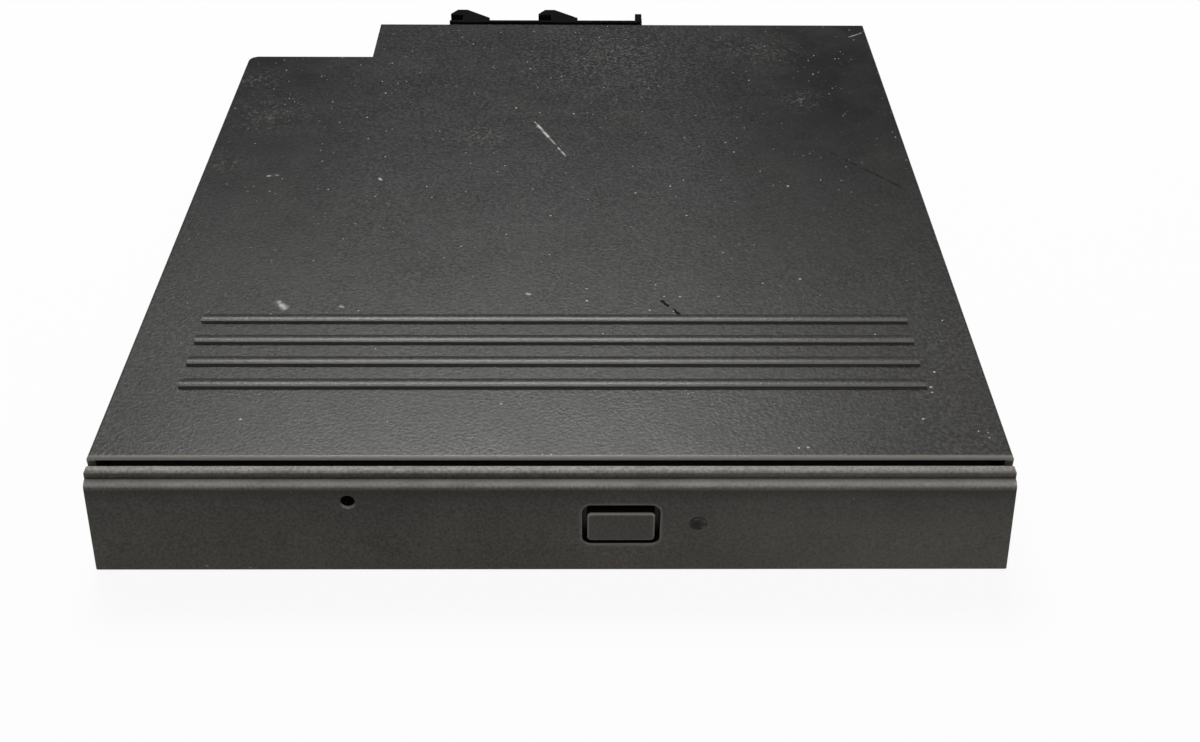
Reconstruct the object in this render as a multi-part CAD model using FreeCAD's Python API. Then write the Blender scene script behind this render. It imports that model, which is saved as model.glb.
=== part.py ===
import FreeCAD, Part
import math
import os

# Tray-loading disc drive in a plug-in bay module: a two-part moulded case, a drawer on
# half-travel runners, and a disc mechanism slung in rubber under the drawer.
# Millimetres. +Z up, +Y to the back, the bezel faces -Y. The origin is the bottom centre
# of the whole drive's box. Depths are counted back from the cover's front edge.

# Cutting tools run past the faces they cut
OVERSHOOT = 1.0

# Disc that the drawer takes
DISC_RADIUS = 60.0

# Case shells
CASE_SIDE_MARGIN = 5.0
CASE_DEPTH = 144.0
CASE_HEIGHT = 18.3
SIDE_WALL = 1.2
COVER_PLATE = 1.0
FLOOR_PLATE = 1.0
SKIRT_HEIGHT = 5.8
NOTCH_WIDTH = 25.4
NOTCH_DEPTH = 16.0
CORNER_RADIUS = 2.0
COVER_EDGE_RADIUS = 0.4
COVER_SETBACK = 0.4
COVER_NOSE = 0.5
TUB_EDGE_RADIUS = 0.5

# Bare label recess in the underside
LABEL_SIDE_MARGIN = 20.0
LABEL_FRONT_MARGIN = 34.0
LABEL_REAR_MARGIN = 50.0
LABEL_DEPTH = 0.3
LABEL_CORNER = 2.0

# Grip ribs on the cover
RIB_COUNT = 4
RIB_PITCH = 5.54
RIB_WIDTH = 2.4
RIB_HEIGHT = 0.6
RIB_NEAR_STEP = 0.42
RIB_SIDE_MARGIN = 9.5
RIB_FRONT_MARGIN = 16.05
RIB_END_RADIUS = 1.3

# Snap tongues that hold the cover's skirts in the tub
TONGUE_COUNT = 3
TONGUE_LENGTH = 10.0
TONGUE_THICKNESS = 0.6
TONGUE_DROP = 2.0
TONGUE_CLEARANCE = 0.1
TONGUE_FIRST_DEPTH = 22.0
TONGUE_LAST_MARGIN = 42.0
BARB_HEIGHT = 0.8
BARB_REACH = 0.6
BARB_CLEARANCE = 0.15

# Case screws at the rear, driven from below
CASE_SCREW_INSET = 9.0
CASE_SCREW_RADIUS = 1.0
CASE_SCREW_HEAD_RADIUS = 1.9
CASE_SCREW_HEAD_HEIGHT = 0.8
CASE_POST_RADIUS = 3.0
CASE_POST_JOINT = 7.0
CASE_SCREW_BITE = 4.0
SCREW_CLEARANCE = 0.1

# Bezel
BEZEL_OVERHANG = 0.1
BEZEL_FOOT_OVERHANG = 1.1
BEZEL_GAP = 0.3
BEZEL_REACH = 2.6
BEZEL_FOOT_REACH = 3.5
BEZEL_FLOOR_GAP = 0.1
BEZEL_LIP_DROP = 0.95
BEZEL_LIP_RADIUS = 0.45
BEZEL_BEAD_DROP = 2.3
BEAD_RADIUS = 1.0
BEAD_LEDGE = 0.1
BEZEL_FOOT_RADIUS = 0.3
BEZEL_CORNER_RADIUS = 0.4
BEZEL_WALL = 1.3
BEZEL_RIM = 1.2
CLIP_INNER_MARGIN = 27.0
CLIP_OUTER_MARGIN = 11.0
CLIP_WIDTH = 4.0
CLIP_THICKNESS = 1.0
CLIP_BARB = 0.5
CLIP_BARB_LENGTH = 1.2
CLIP_CLEARANCE = 0.15
CLIP_DROP = 0.5

# Controls on the bezel
PINHOLE_X = -28.7
PINHOLE_DROP = 5.5
PINHOLE_RADIUS = 0.95
PINHOLE_CHAMFER = 0.25
BUTTON_X = 9.8
BUTTON_DROP = 10.0
BUTTON_SIZE_X = 9.6
BUTTON_SIZE_Z = 5.2
BUTTON_GAP = 0.75
BUTTON_HEADROOM = 0.5
BUTTON_CORNER = 0.6
BUTTON_PROUD = 0.4
BUTTON_TRAVEL = 0.8
BUTTON_FLANGE = 1.7
BUTTON_FLANGE_THICKNESS = 0.6
BUTTON_STEM_RADIUS = 1.0
BUTTON_CHAMFER = 0.3
LAMP_X = 20.8
LAMP_DROP = 9.55
LAMP_RADIUS = 1.2
LAMP_CLEARANCE = 0.05
COLLAR_WALL = 0.8

# Runners
RAIL_CENTRE_DROP = 3.0
RAIL_HEIGHT = 3.6
RAIL_WEB = 0.6
RAIL_GROOVE_DEPTH = 1.0
RAIL_GROOVE_HEIGHT = 1.6
RAIL_CLEARANCE = 0.3
RAIL_REAR_GAP = 5.8
RAIL_FRONT_DEPTH = 3.0
GUIDE_BASE = 0.5
GUIDE_FRONT_DEPTH = 0.5
GUIDE_REAR_GAP = 2.3

# Drawer
TRAY_END_GAP = 0.6
TRAY_SIDE_GAP = 1.0
TRAY_UNDERSIDE = 4.6
TRAY_WALL = 1.8
DECK_DROP = 7.1
DECK_THICKNESS = 1.6
RIM_HEIGHT = 2.2
WELL_CLEARANCE = 0.75
DISC_LIFT = 0.6
SPINDLE_FRONT_MARGIN = 4.5
SCALLOP_RADIUS = 9.0
SCALLOP_ANGLE = 52.0
WINDOW_RADIUS = 19.0
WINDOW_HALF_WIDTH = 13.0
WINDOW_END_MARGIN = 2.5

# Mechanism plate: u runs out along the pickup's travel, v across it
MECH_ANGLE = -45.0
CHASSIS_THICKNESS = 0.9
CHASSIS_DROP = 0.6
CHASSIS_INNER_U = -26.0
CHASSIS_END_MARGIN = 5.5
CHASSIS_HALF_WIDTH = 25.0
CHASSIS_CHAMFER_BACK = 7.0
CHASSIS_CHAMFER_FRONT = 11.0
CHASSIS_WINDOW_HALF_WIDTH = 10.5
DAMPER_INNER_U = -18.4
DAMPER_OUTER_MARGIN = 13.0
DAMPER_V = 20.8
DAMPER_RADIUS = 3.4
DAMPER_NECK_RADIUS = 2.3
DAMPER_NECK_CLEARANCE = 0.05
DAMPER_FLANGE = 0.9
DAMPER_BORE_RADIUS = 1.2
DAMPER_SCREW_RADIUS = 0.8
DAMPER_SCREW_HEAD_RADIUS = 2.4
DAMPER_SCREW_HEAD_HEIGHT = 0.7
DAMPER_SCREW_BITE = 1.1
DECK_COVER_THICKNESS = 0.6
DECK_COVER_SEAT = 1.8
DECK_COVER_CLEARANCE = 0.15
LENS_SLOT_HALF_WIDTH = 9.5

# Spindle
ROTOR_RADIUS = 13.0
ROTOR_CLEARANCE = 0.8
ROTOR_SKIRT = 3.2
ROTOR_WALL = 0.8
PAD_THICKNESS = 0.3
PAD_WIDTH = 2.6
NOSE_RADIUS = 7.4
NOSE_HEIGHT = 2.5
NOSE_CHAMFER = 0.9
STATOR_RADIUS = 10.4
STATOR_TEETH = 9
STATOR_TOOTH_WIDTH = 1.5
MOTOR_BASE_THICKNESS = 0.8
MOTOR_BASE_HALF_WIDTH = 12.5
MOTOR_BASE_TAIL = 17.0
MOTOR_POST_RADIUS = 1.4
SHAFT_RADIUS = 1.0
SHAFT_CLEARANCE = 0.05
SLEEVE_RADIUS = 2.4
CLAW_COUNT = 3
CLAW_WIDTH = 3.0
CLAW_LENGTH = 3.4
CLAW_THICKNESS = 1.0
CLAW_PROUD = 0.45
CLAW_TRAVEL = 0.8
CLAW_CLEARANCE = 0.1
CLAW_LIFT = 1.0

# Pickup and feed
LENS_HOME_U = 22.5
LENS_END_MARGIN = 3.0
SLED_INNER = 9.0
SLED_OUTER = 5.5
ROD_V = 15.0
ROD_RADIUS = 1.0
ROD_DROP = 4.0
ROD_CLEARANCE = 0.05
ROD_INNER_U = 11.5
ROD_END_MARGIN = 5.0
ROD_CLAMP_LENGTH = 1.6
ROD_CLAMP_HALF_WIDTH = 2.0
SLED_DROP = 6.2
SLED_HEAD_GAP = 0.3
SLED_BUSH_WALL = 1.1
TOWER_HALF_LENGTH = 5.0
TOWER_HALF_WIDTH = 8.0
TOWER_RISE = 0.2
TOWER_WALL = 0.8
LENS_RADIUS = 2.2
LENS_HOLDER_HALF_LENGTH = 3.8
LENS_HOLDER_HALF_WIDTH = 6.8
LENS_HOLDER_HEIGHT = 1.8
LENS_TRAVEL = 0.4
LENS_CROWN = 0.5
SCREW_V = -20.0
LEAD_SCREW_RADIUS = 1.2
LEAD_SCREW_END_MARGIN = 2.0
FEED_MOTOR_LENGTH = 15.0
FEED_MOTOR_FRONT_U = 9.0
FEED_MOTOR_HALF_WIDTH = 4.0
FEED_MOTOR_HEIGHT = 4.6
FEED_BRACKET = 0.8
RACK_LENGTH = 7.0
RACK_GAP = 0.15

# Boards
BOARD_STANDOFF = 0.8
BOARD_THICKNESS = 1.0
BOARD_REACH = 36.0
BOARD_EDGE_GAP = 1.0
BOARD_POST_RADIUS = 2.2
BOARD_SCREW_RADIUS = 0.8
BOARD_SCREW_HEAD_RADIUS = 1.7
BOARD_SCREW_HEAD_HEIGHT = 0.6
CHIP_HEIGHT = 1.0
CHIP_LARGE = 18.0
CHIP_SMALL = 11.0
CHIP_MAIN_X = -18.0
CHIP_LEFT_X = -43.0
CHIP_RIGHT_X = 9.0
CHIP_CHAMFER = 0.25
FLEX_WIDTH = 20.0
FLEX_THICKNESS = 0.2
FLEX_SIDE_MARGIN = 22.0
FLEX_BEND_REACH = 34.0
FLEX_SOCKET_DEPTH = 4.0
FLEX_SOCKET_HEIGHT = 1.0
FLEX_ENTRY = 0.4
FLEX_RISE = 5.0
FRONT_BOARD_LEFT = 3.0
FRONT_BOARD_RIGHT = 26.0
FRONT_BOARD_DEPTH = 5.8
FRONT_BOARD_DROP = 6.0
SWITCH_WIDTH = 6.0
SWITCH_LENGTH = 3.4
SWITCH_ROOF = 0.2
PLUNGER_LENGTH = 1.0
PLUNGER_RADIUS = 0.8

# Drawer latch
LATCH_X = -16.0
LATCH_DEPTH = 15.0
LATCH_SWING = 18.0
LATCH_PIN_RADIUS = 1.0
LATCH_PIN_CLEARANCE = 0.05
LATCH_HUB_RADIUS = 2.4
LATCH_THICKNESS = 1.4
LATCH_ARM_WIDTH = 2.2
LATCH_TOOTH = 3.4
LATCH_TOOTH_LENGTH = 2.0
LATCH_PLAY = 0.25
LATCH_TAIL_DEPTH = 6.0
LATCH_TAIL_WIDTH = 5.0
LATCH_TAIL_THICKNESS = 1.3
LATCH_POST_X = -10.4
LATCH_POST_DEPTH = 5.5
LATCH_POST_RADIUS = 1.2
LATCH_POST_TOP_GAP = 0.4
POCKET_CLEARANCE = 0.8
SOLENOID_X = -44.0
SOLENOID_DEPTH = 17.0
SOLENOID_LENGTH = 13.0
YOKE_HALF_WIDTH = 2.6
COIL_RADIUS = 2.2
CORE_RADIUS = 0.9

# Rear connector
CONNECTOR_LEFT = -25.6
CONNECTOR_RIGHT = 18.0
CONNECTOR_INSET = 5.5
CONNECTOR_TOP = 14.2
CONNECTOR_CLEARANCE = 0.2
SHROUD_REACH = 2.2
SHROUD_WALL = 0.9
SLOT_HEIGHT = 3.2
SLOT_LIFT = 6.4
SLOT_DEPTH = 4.5
SLOT_END_WALL = 2.4
CONTACT_PITCH = 1.27
CONTACT_WIDTH = 0.5
CONTACT_THICKNESS = 0.4
CONTACT_REACH = 3.6
HORN_WIDTH = 8.6
HORN_ONE_LEFT = -24.8
HORN_TWO_LEFT = -5.6
HORN_REACH = 7.7
HORN_SHOULDER_REACH = 5.5
HORN_END_REACH = 3.5
HORN_CREST_START = 1.4
HORN_CREST_LENGTH = 2.1
HORN_HEAD_WIDTH = 2.8
HORN_HEAD_REACH = 6.0
HORN_HEAD_HEIGHT = 3.0
HORN_TOP_DROP = 0.1
HORN_THICKNESS = 7.0
TAB_LEFT = 15.6
TAB_WIDTH = 1.4
TAB_REACH = 5.6

# Derived places
overall_length = BEZEL_FOOT_REACH + CASE_DEPTH + HORN_REACH
front_y = BEZEL_FOOT_REACH - overall_length / 2
rear_y = front_y + CASE_DEPTH
half_width = DISC_RADIUS + CASE_SIDE_MARGIN
case_width = 2 * half_width
inner_half = half_width - SIDE_WALL
notch_x = -half_width + NOTCH_WIDTH
notch_y = rear_y - NOTCH_DEPTH
cover_underside = CASE_HEIGHT - COVER_PLATE
parting_height = CASE_HEIGHT - SKIRT_HEIGHT

bezel_back = front_y - BEZEL_GAP
bezel_half = half_width + BEZEL_OVERHANG
bezel_foot_half = half_width + BEZEL_FOOT_OVERHANG
bezel_lip_z = CASE_HEIGHT - BEZEL_LIP_DROP
bead_top_z = CASE_HEIGHT - BEZEL_BEAD_DROP
bead_foot_z = bead_top_z - BEAD_RADIUS
bead_y = front_y - BEZEL_REACH
pinhole_height = CASE_HEIGHT - PINHOLE_DROP
button_height = CASE_HEIGHT - BUTTON_DROP
lamp_height = CASE_HEIGHT - LAMP_DROP
foot_y = front_y - BEZEL_FOOT_REACH

tray_front = bezel_back
tray_inner_front = tray_front + TRAY_WALL
tray_rear = notch_y - SIDE_WALL - TRAY_END_GAP
deck_underside = CASE_HEIGHT - DECK_DROP
deck_top = deck_underside + DECK_THICKNESS
rim_top = deck_top + RIM_HEIGHT
rim_half = inner_half - TRAY_SIDE_GAP
spindle_y = front_y + SPINDLE_FRONT_MARGIN + DISC_RADIUS
well_radius = DISC_RADIUS + WELL_CLEARANCE
window_reach = DISC_RADIUS + WINDOW_END_MARGIN
chassis_outer_u = DISC_RADIUS + CHASSIS_END_MARGIN
rod_outer_u = DISC_RADIUS + ROD_END_MARGIN
lead_screw_end_u = DISC_RADIUS - LEAD_SCREW_END_MARGIN
damper_outer_u = DISC_RADIUS - DAMPER_OUTER_MARGIN
lens_reach = DISC_RADIUS - LENS_END_MARGIN
disc_plane = deck_top + DISC_LIFT

rail_outer = inner_half - GUIDE_BASE - RAIL_CLEARANCE
rail_inner = rail_outer - 2 * RAIL_GROOVE_DEPTH - RAIL_WEB
tray_half = rail_inner - RAIL_CLEARANCE
tongue_height = RAIL_GROOVE_HEIGHT - 2 * RAIL_CLEARANCE
rail_centre = deck_underside - RAIL_CENTRE_DROP

front_board_height = deck_underside - FRONT_BOARD_DROP
chassis_top = deck_underside - CHASSIS_DROP
rod_height = deck_underside - ROD_DROP
sled_underside = deck_underside - SLED_DROP
tower_top = deck_underside + TOWER_RISE
chassis_under = chassis_top - CHASSIS_THICKNESS
board_under = FLOOR_PLATE + BOARD_STANDOFF
board_top = board_under + BOARD_THICKNESS
horn_top = CASE_HEIGHT - HORN_TOP_DROP

V = FreeCAD.Vector
UP = V(0, 0, 1)


def face_y(z):
    """The bezel's front face leans: its y at a height."""
    share = (bead_foot_z - z) / (bead_foot_z - BEZEL_FLOOR_GAP)
    return bead_y + share * (foot_y - bead_y)


def box(x0, x1, y0, y1, z0, z1):
    return Part.makeBox(x1 - x0, y1 - y0, z1 - z0, V(x0, y0, z0))


def rod(x, y, z, radius, height, axis=UP):
    return Part.makeCylinder(radius, height, V(x, y, z), axis)


def ring(x, y, z, outer, inner, height):
    return rod(x, y, z, outer, height).cut(rod(x, y, z, inner, height))


def fuse(shapes):
    first = shapes[0]
    rest = shapes[1:]
    return first.multiFuse(rest).removeSplitter() if rest else first


def cut(shape, tools):
    return shape.cut(fuse(tools))


def prism(points, height):
    """A closed outline of points, extruded along +Z."""
    return Part.Face(Part.makePolygon(points + [points[0]])).extrude(V(0, 0, height))


def placed_mech(shape):
    """Moves a piece from the mechanism's own u, v frame to the spindle."""
    shape.rotate(V(0, 0, 0), UP, MECH_ANGLE)
    shape.translate(V(0, spindle_y, 0))
    return shape


def save(name, shape):
    shape.exportStep("parts/" + name + ".step")


def case_outline(inset, front, z0, z1, corner):
    """The case's plan, set in from the outside, with the rear-left corner rounded."""
    left = -half_width + inset
    right = half_width - inset
    rear = rear_y - inset
    step_y = notch_y - inset
    step_x = notch_x + inset
    slant = corner * (1 - math.sqrt(0.5))
    edges = [
        Part.makeLine(V(left, front, z0), V(left, step_y - corner, z0)),
        Part.Arc(V(left, step_y - corner, z0), V(left + slant, step_y - slant, z0),
                 V(left + corner, step_y, z0)).toShape(),
        Part.makeLine(V(left + corner, step_y, z0), V(step_x, step_y, z0)),
        Part.makeLine(V(step_x, step_y, z0), V(step_x, rear, z0)),
        Part.makeLine(V(step_x, rear, z0), V(right, rear, z0)),
        Part.makeLine(V(right, rear, z0), V(right, front, z0)),
        Part.makeLine(V(right, front, z0), V(left, front, z0)),
    ]
    return Part.Face(Part.Wire(edges)).extrude(V(0, 0, z1 - z0))


def rounded_rim(shape, z, radius):
    """Rounds the edges that lie at one height."""
    rim = [e for e in shape.Edges if all(abs(v.Z - z) < COVER_EDGE_RADIUS / 2 for v in e.Vertexes)]
    return shape.makeFillet(radius, rim)


inner_corner = max(CORNER_RADIUS - SIDE_WALL, CORNER_RADIUS / 4)
open_front = front_y - SIDE_WALL
case_screw_places = [
    (half_width - CASE_SCREW_INSET, rear_y - CASE_SCREW_INSET),
    (notch_x + CASE_SCREW_INSET, rear_y - CASE_SCREW_INSET),
]
tongue_pitch = (CASE_DEPTH - TONGUE_LAST_MARGIN - TONGUE_FIRST_DEPTH) / (TONGUE_COUNT - 1)
tongue_depths = [TONGUE_FIRST_DEPTH + tongue_pitch * i for i in range(TONGUE_COUNT)]
connector_opening = box(CONNECTOR_LEFT - CONNECTOR_CLEARANCE, CONNECTOR_RIGHT + CONNECTOR_CLEARANCE,
                        rear_y - 2 * SIDE_WALL, rear_y + SIDE_WALL,
                        board_under - CONNECTOR_CLEARANCE, CONNECTOR_TOP + CONNECTOR_CLEARANCE)
board_left = -inner_half + BOARD_EDGE_GAP
board_right = inner_half - BOARD_EDGE_GAP
board_front = notch_y - BOARD_REACH
board_rear = rear_y - SIDE_WALL - BOARD_EDGE_GAP
board_step_y = notch_y - SIDE_WALL - BOARD_EDGE_GAP
board_step_x = notch_x + SIDE_WALL + BOARD_EDGE_GAP
post_inset = BOARD_POST_RADIUS + BOARD_EDGE_GAP
board_posts = [
    (board_left + post_inset, board_front + post_inset),
    (board_right - post_inset, board_front + post_inset),
    (board_left + post_inset, board_step_y - post_inset),
    (board_right - post_inset, board_step_y - post_inset),
]


def make_lower_case():
    """Moulded tub: floor, walls to the parting line, board posts and two screw posts."""
    tub = rounded_rim(case_outline(0, front_y, 0, parting_height, CORNER_RADIUS), 0, TUB_EDGE_RADIUS)
    hollow = case_outline(SIDE_WALL, open_front, FLOOR_PLATE, parting_height + SIDE_WALL, inner_corner)
    solids = [tub.cut(hollow)]
    for x, y in case_screw_places:
        solids.append(rod(x, y, 0, CASE_POST_RADIUS, CASE_POST_JOINT))
    for x, y in board_posts:
        solids.append(rod(x, y, FLOOR_PLATE / 2, BOARD_POST_RADIUS, board_under - FLOOR_PLATE / 2))
    solids.append(rod(LATCH_POST_X, front_y + LATCH_POST_DEPTH, FLOOR_PLATE / 2, 2 * LATCH_POST_RADIUS,
                      FLOOR_PLATE / 2 + BOARD_STANDOFF))
    label = box(-half_width + LABEL_SIDE_MARGIN, half_width - LABEL_SIDE_MARGIN, front_y + LABEL_FRONT_MARGIN,
                rear_y - LABEL_REAR_MARGIN, -OVERSHOOT, LABEL_DEPTH)
    corners = [e for e in label.Edges if abs(e.Vertexes[0].Z - e.Vertexes[-1].Z) > LABEL_DEPTH]
    tools = [connector_opening, label.makeFillet(LABEL_CORNER, corners)]
    for x, y in case_screw_places:
        tools.append(rod(x, y, -OVERSHOOT, CASE_SCREW_RADIUS + SCREW_CLEARANCE,
                         CASE_POST_JOINT + 2 * OVERSHOOT))
        tools.append(rod(x, y, -OVERSHOOT, CASE_SCREW_HEAD_RADIUS + SCREW_CLEARANCE,
                         OVERSHOOT + CASE_SCREW_HEAD_HEIGHT + SCREW_CLEARANCE))
    for x, y in board_posts:
        tools.append(rod(x, y, FLOOR_PLATE, BOARD_SCREW_RADIUS + SCREW_CLEARANCE, board_under))
    tools.append(rod(LATCH_POST_X, front_y + LATCH_POST_DEPTH, FLOOR_PLATE / 2,
                     LATCH_POST_RADIUS / 2 + SCREW_CLEARANCE, FLOOR_PLATE + BOARD_STANDOFF))
    barb_top = parting_height - TONGUE_DROP + BARB_HEIGHT + BARB_CLEARANCE
    for side in (-1, 1):
        for depth in tongue_depths:
            half = TONGUE_LENGTH / 2 + BARB_CLEARANCE
            middle = front_y + depth
            near = side * (inner_half - SIDE_WALL)
            far = side * (half_width + SIDE_WALL)
            tools.append(box(min(near, far), max(near, far), middle - half, middle + half,
                             parting_height - TONGUE_DROP - BARB_CLEARANCE, barb_top))
    return cut(fuse(solids), tools)


def rib_solid(near_y):
    """One grip rib: steep at its near foot, easing down to the cover at the back."""
    left = -half_width + RIB_SIDE_MARGIN
    length = case_width - 2 * RIB_SIDE_MARGIN
    crest = near_y + RIB_WIDTH / 3
    far = near_y + RIB_WIDTH
    root = CASE_HEIGHT - COVER_PLATE / 2
    near_top = V(left, near_y, CASE_HEIGHT + RIB_NEAR_STEP)
    profile = [
        Part.makeLine(V(left, far, root), V(left, near_y, root)),
        Part.makeLine(V(left, near_y, root), near_top),
        Part.Arc(near_top, V(left, crest, CASE_HEIGHT + RIB_HEIGHT), V(left, far, CASE_HEIGHT)).toShape(),
        Part.makeLine(V(left, far, CASE_HEIGHT), V(left, far, root)),
    ]
    bar = Part.Face(Part.Wire(profile)).extrude(V(length, 0, 0))
    plan = box(left, left + length, near_y, far, root, CASE_HEIGHT + 2 * RIB_HEIGHT)
    ends = [e for e in plan.Edges
            if abs(e.Vertexes[0].Z - e.Vertexes[-1].Z) > RIB_HEIGHT
            and e.Vertexes[0].Y > near_y + RIB_WIDTH / 2]
    return bar.common(plan.makeFillet(RIB_END_RADIUS, ends))


def make_top_cover():
    """Moulded lid: plate, skirts to the parting line, grip ribs, snap tongues and two posts."""
    nose_y = front_y + COVER_SETBACK
    lid = case_outline(0, nose_y, parting_height, CASE_HEIGHT, CORNER_RADIUS)
    lid = rounded_rim(lid, CASE_HEIGHT, COVER_EDGE_RADIUS)
    hollow = case_outline(SIDE_WALL, open_front, parting_height - SIDE_WALL, cover_underside, inner_corner)
    solids = [lid.cut(hollow)]
    for i in range(RIB_COUNT):
        solids.append(rib_solid(front_y + RIB_FRONT_MARGIN + RIB_PITCH * i))
    for x, y in case_screw_places:
        solids.append(rod(x, y, CASE_POST_JOINT, CASE_POST_RADIUS,
                          cover_underside - CASE_POST_JOINT + COVER_PLATE / 2))
    tongue_out = inner_half - TONGUE_CLEARANCE
    for side in (-1, 1):
        for depth in tongue_depths:
            half = TONGUE_LENGTH / 2
            middle = front_y + depth
            low = parting_height - TONGUE_DROP
            near = side * (tongue_out - TONGUE_THICKNESS)
            far = side * tongue_out
            root = side * (inner_half + TONGUE_CLEARANCE)
            tip = side * (inner_half + BARB_REACH)
            solids.append(box(min(near, far), max(near, far), middle - half, middle + half, low,
                              parting_height + TONGUE_DROP))
            solids.append(box(min(near, root), max(near, root), middle - half, middle + half,
                              parting_height,
                              parting_height + TONGUE_DROP))
            wedge = [V(far, 0, low), V(far, 0, low + BARB_HEIGHT), V(tip, 0, low + BARB_HEIGHT)]
            barb = Part.Face(Part.makePolygon(wedge + [wedge[0]])).extrude(V(0, 2 * half, 0))
            barb.translate(V(0, middle - half, 0))
            solids.append(barb)
    nose_z = CASE_HEIGHT - COVER_NOSE
    undercut = [
        V(-inner_half, nose_y - OVERSHOOT, nose_z), V(-inner_half, nose_y, nose_z),
        V(-inner_half, nose_y + nose_z - cover_underside + OVERSHOOT, cover_underside - OVERSHOOT),
        V(-inner_half, nose_y - OVERSHOOT, cover_underside - OVERSHOOT),
    ]
    relief = Part.Face(Part.makePolygon(undercut + [undercut[0]])).extrude(V(2 * inner_half, 0, 0))
    tools = [connector_opening, relief]
    for x, y in case_screw_places:
        tools.append(rod(x, y, CASE_POST_JOINT - OVERSHOOT, CASE_SCREW_RADIUS + SCREW_CLEARANCE,
                         OVERSHOOT + CASE_SCREW_BITE + SCREW_CLEARANCE))
    return cut(fuse(solids), tools)


def make_case_screws():
    screws = []
    for x, y in case_screw_places:
        head = rod(x, y, SCREW_CLEARANCE, CASE_SCREW_HEAD_RADIUS, CASE_SCREW_HEAD_HEIGHT)
        shank = rod(x, y, SCREW_CLEARANCE, CASE_SCREW_RADIUS,
                    CASE_POST_JOINT + CASE_SCREW_BITE - SCREW_CLEARANCE)
        screws.append(head.fuse(shank).removeSplitter())
    return Part.makeCompound(screws)


def make_main_board():
    """Circuit board over the rear of the tub, stepped round the case's notch."""
    outline = [
        V(board_left, board_front, board_under), V(board_right, board_front, board_under),
        V(board_right, board_rear, board_under), V(board_step_x, board_rear, board_under),
        V(board_step_x, board_step_y, board_under), V(board_left, board_step_y, board_under),
    ]
    board = prism(outline, BOARD_THICKNESS)
    holes = []
    for x, y in board_posts:
        holes.append(rod(x, y, board_under - OVERSHOOT, BOARD_SCREW_RADIUS + SCREW_CLEARANCE,
                         BOARD_THICKNESS + 2 * OVERSHOOT))
    for x, y in case_screw_places:
        holes.append(rod(x, y, board_under - OVERSHOOT, CASE_POST_RADIUS + BOARD_EDGE_GAP / 2,
                         BOARD_THICKNESS + 2 * OVERSHOOT))
    return cut(board, holes)


def make_board_screws():
    screws = []
    for x, y in board_posts:
        head = rod(x, y, board_top, BOARD_SCREW_HEAD_RADIUS, BOARD_SCREW_HEAD_HEIGHT)
        shank = rod(x, y, FLOOR_PLATE, BOARD_SCREW_RADIUS,
                    board_top - FLOOR_PLATE + BOARD_SCREW_HEAD_HEIGHT / 2)
        screws.append(head.fuse(shank).removeSplitter())
    return Part.makeCompound(screws)


def make_controller_chips():
    """Three flat chip packages on the main board."""
    row = (board_front + board_step_y) / 2
    places = [(CHIP_MAIN_X, CHIP_LARGE), (CHIP_LEFT_X, CHIP_SMALL), (CHIP_RIGHT_X, CHIP_SMALL)]
    chips = []
    for x, size in places:
        half = size / 2
        body = box(x - half, x + half, row - half, row + half, board_top, board_top + CHIP_HEIGHT)
        rim = [e for e in body.Edges if e.Vertexes[0].Z > board_top and e.Vertexes[-1].Z > board_top]
        chips.append(body.makeChamfer(CHIP_CHAMFER, rim))
    return Part.makeCompound(chips)


def make_connector():
    """Plug block on the board's rear edge, with two hooked guide horns and an end tab."""
    outer = rear_y + SHROUD_REACH
    block = box(CONNECTOR_LEFT, CONNECTOR_RIGHT, rear_y - CONNECTOR_INSET, outer,
                board_top, CONNECTOR_TOP)
    wall = box(HORN_ONE_LEFT, TAB_LEFT + TAB_WIDTH, outer - SHROUD_WALL, outer,
               CONNECTOR_TOP - SHROUD_WALL, horn_top)
    solids = [block, wall]
    horn_low = horn_top - HORN_THICKNESS
    for left in (HORN_ONE_LEFT, HORN_TWO_LEFT):
        right = left + HORN_WIDTH
        crest_end = left + HORN_CREST_START + HORN_CREST_LENGTH
        root = outer - SHROUD_WALL
        plan = [
            V(left, root, horn_low), V(right, root, horn_low), V(right, rear_y + HORN_END_REACH, horn_low),
            V(crest_end, rear_y + HORN_REACH, horn_low),
            V(left + HORN_CREST_START, rear_y + HORN_REACH, horn_low),
            V(left, rear_y + HORN_SHOULDER_REACH, horn_low),
        ]
        horn = prism(plan, HORN_THICKNESS)
        step = box(left - OVERSHOOT, left + HORN_HEAD_WIDTH, outer, rear_y + HORN_HEAD_REACH - SHROUD_WALL,
                   horn_top - HORN_HEAD_HEIGHT, horn_top + OVERSHOOT)
        solids.append(horn.cut(step))
    solids.append(box(TAB_LEFT, TAB_LEFT + TAB_WIDTH, outer - SHROUD_WALL, rear_y + TAB_REACH, horn_low,
                      horn_top))
    slot = box(CONNECTOR_LEFT + SLOT_END_WALL, CONNECTOR_RIGHT - SLOT_END_WALL, outer - SLOT_DEPTH,
               outer + OVERSHOOT,
               SLOT_LIFT, SLOT_LIFT + SLOT_HEIGHT)
    return fuse(solids).cut(slot)


def make_connector_contacts():
    """Two rows of flat blades in the connector's slot."""
    outer = rear_y + SHROUD_REACH
    first = CONNECTOR_LEFT + SLOT_END_WALL + CONTACT_PITCH
    last = CONNECTOR_RIGHT - SLOT_END_WALL - CONTACT_PITCH
    count = int((last - first) / CONTACT_PITCH) + 1
    blades = []
    for i in range(count):
        x = first + i * CONTACT_PITCH
        for z in (SLOT_LIFT, SLOT_LIFT + SLOT_HEIGHT - CONTACT_THICKNESS):
            blades.append(box(x - CONTACT_WIDTH / 2, x + CONTACT_WIDTH / 2, outer - SLOT_DEPTH,
                              outer - SLOT_DEPTH + CONTACT_REACH, z, z + CONTACT_THICKNESS))
    return Part.makeCompound(blades)


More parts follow.
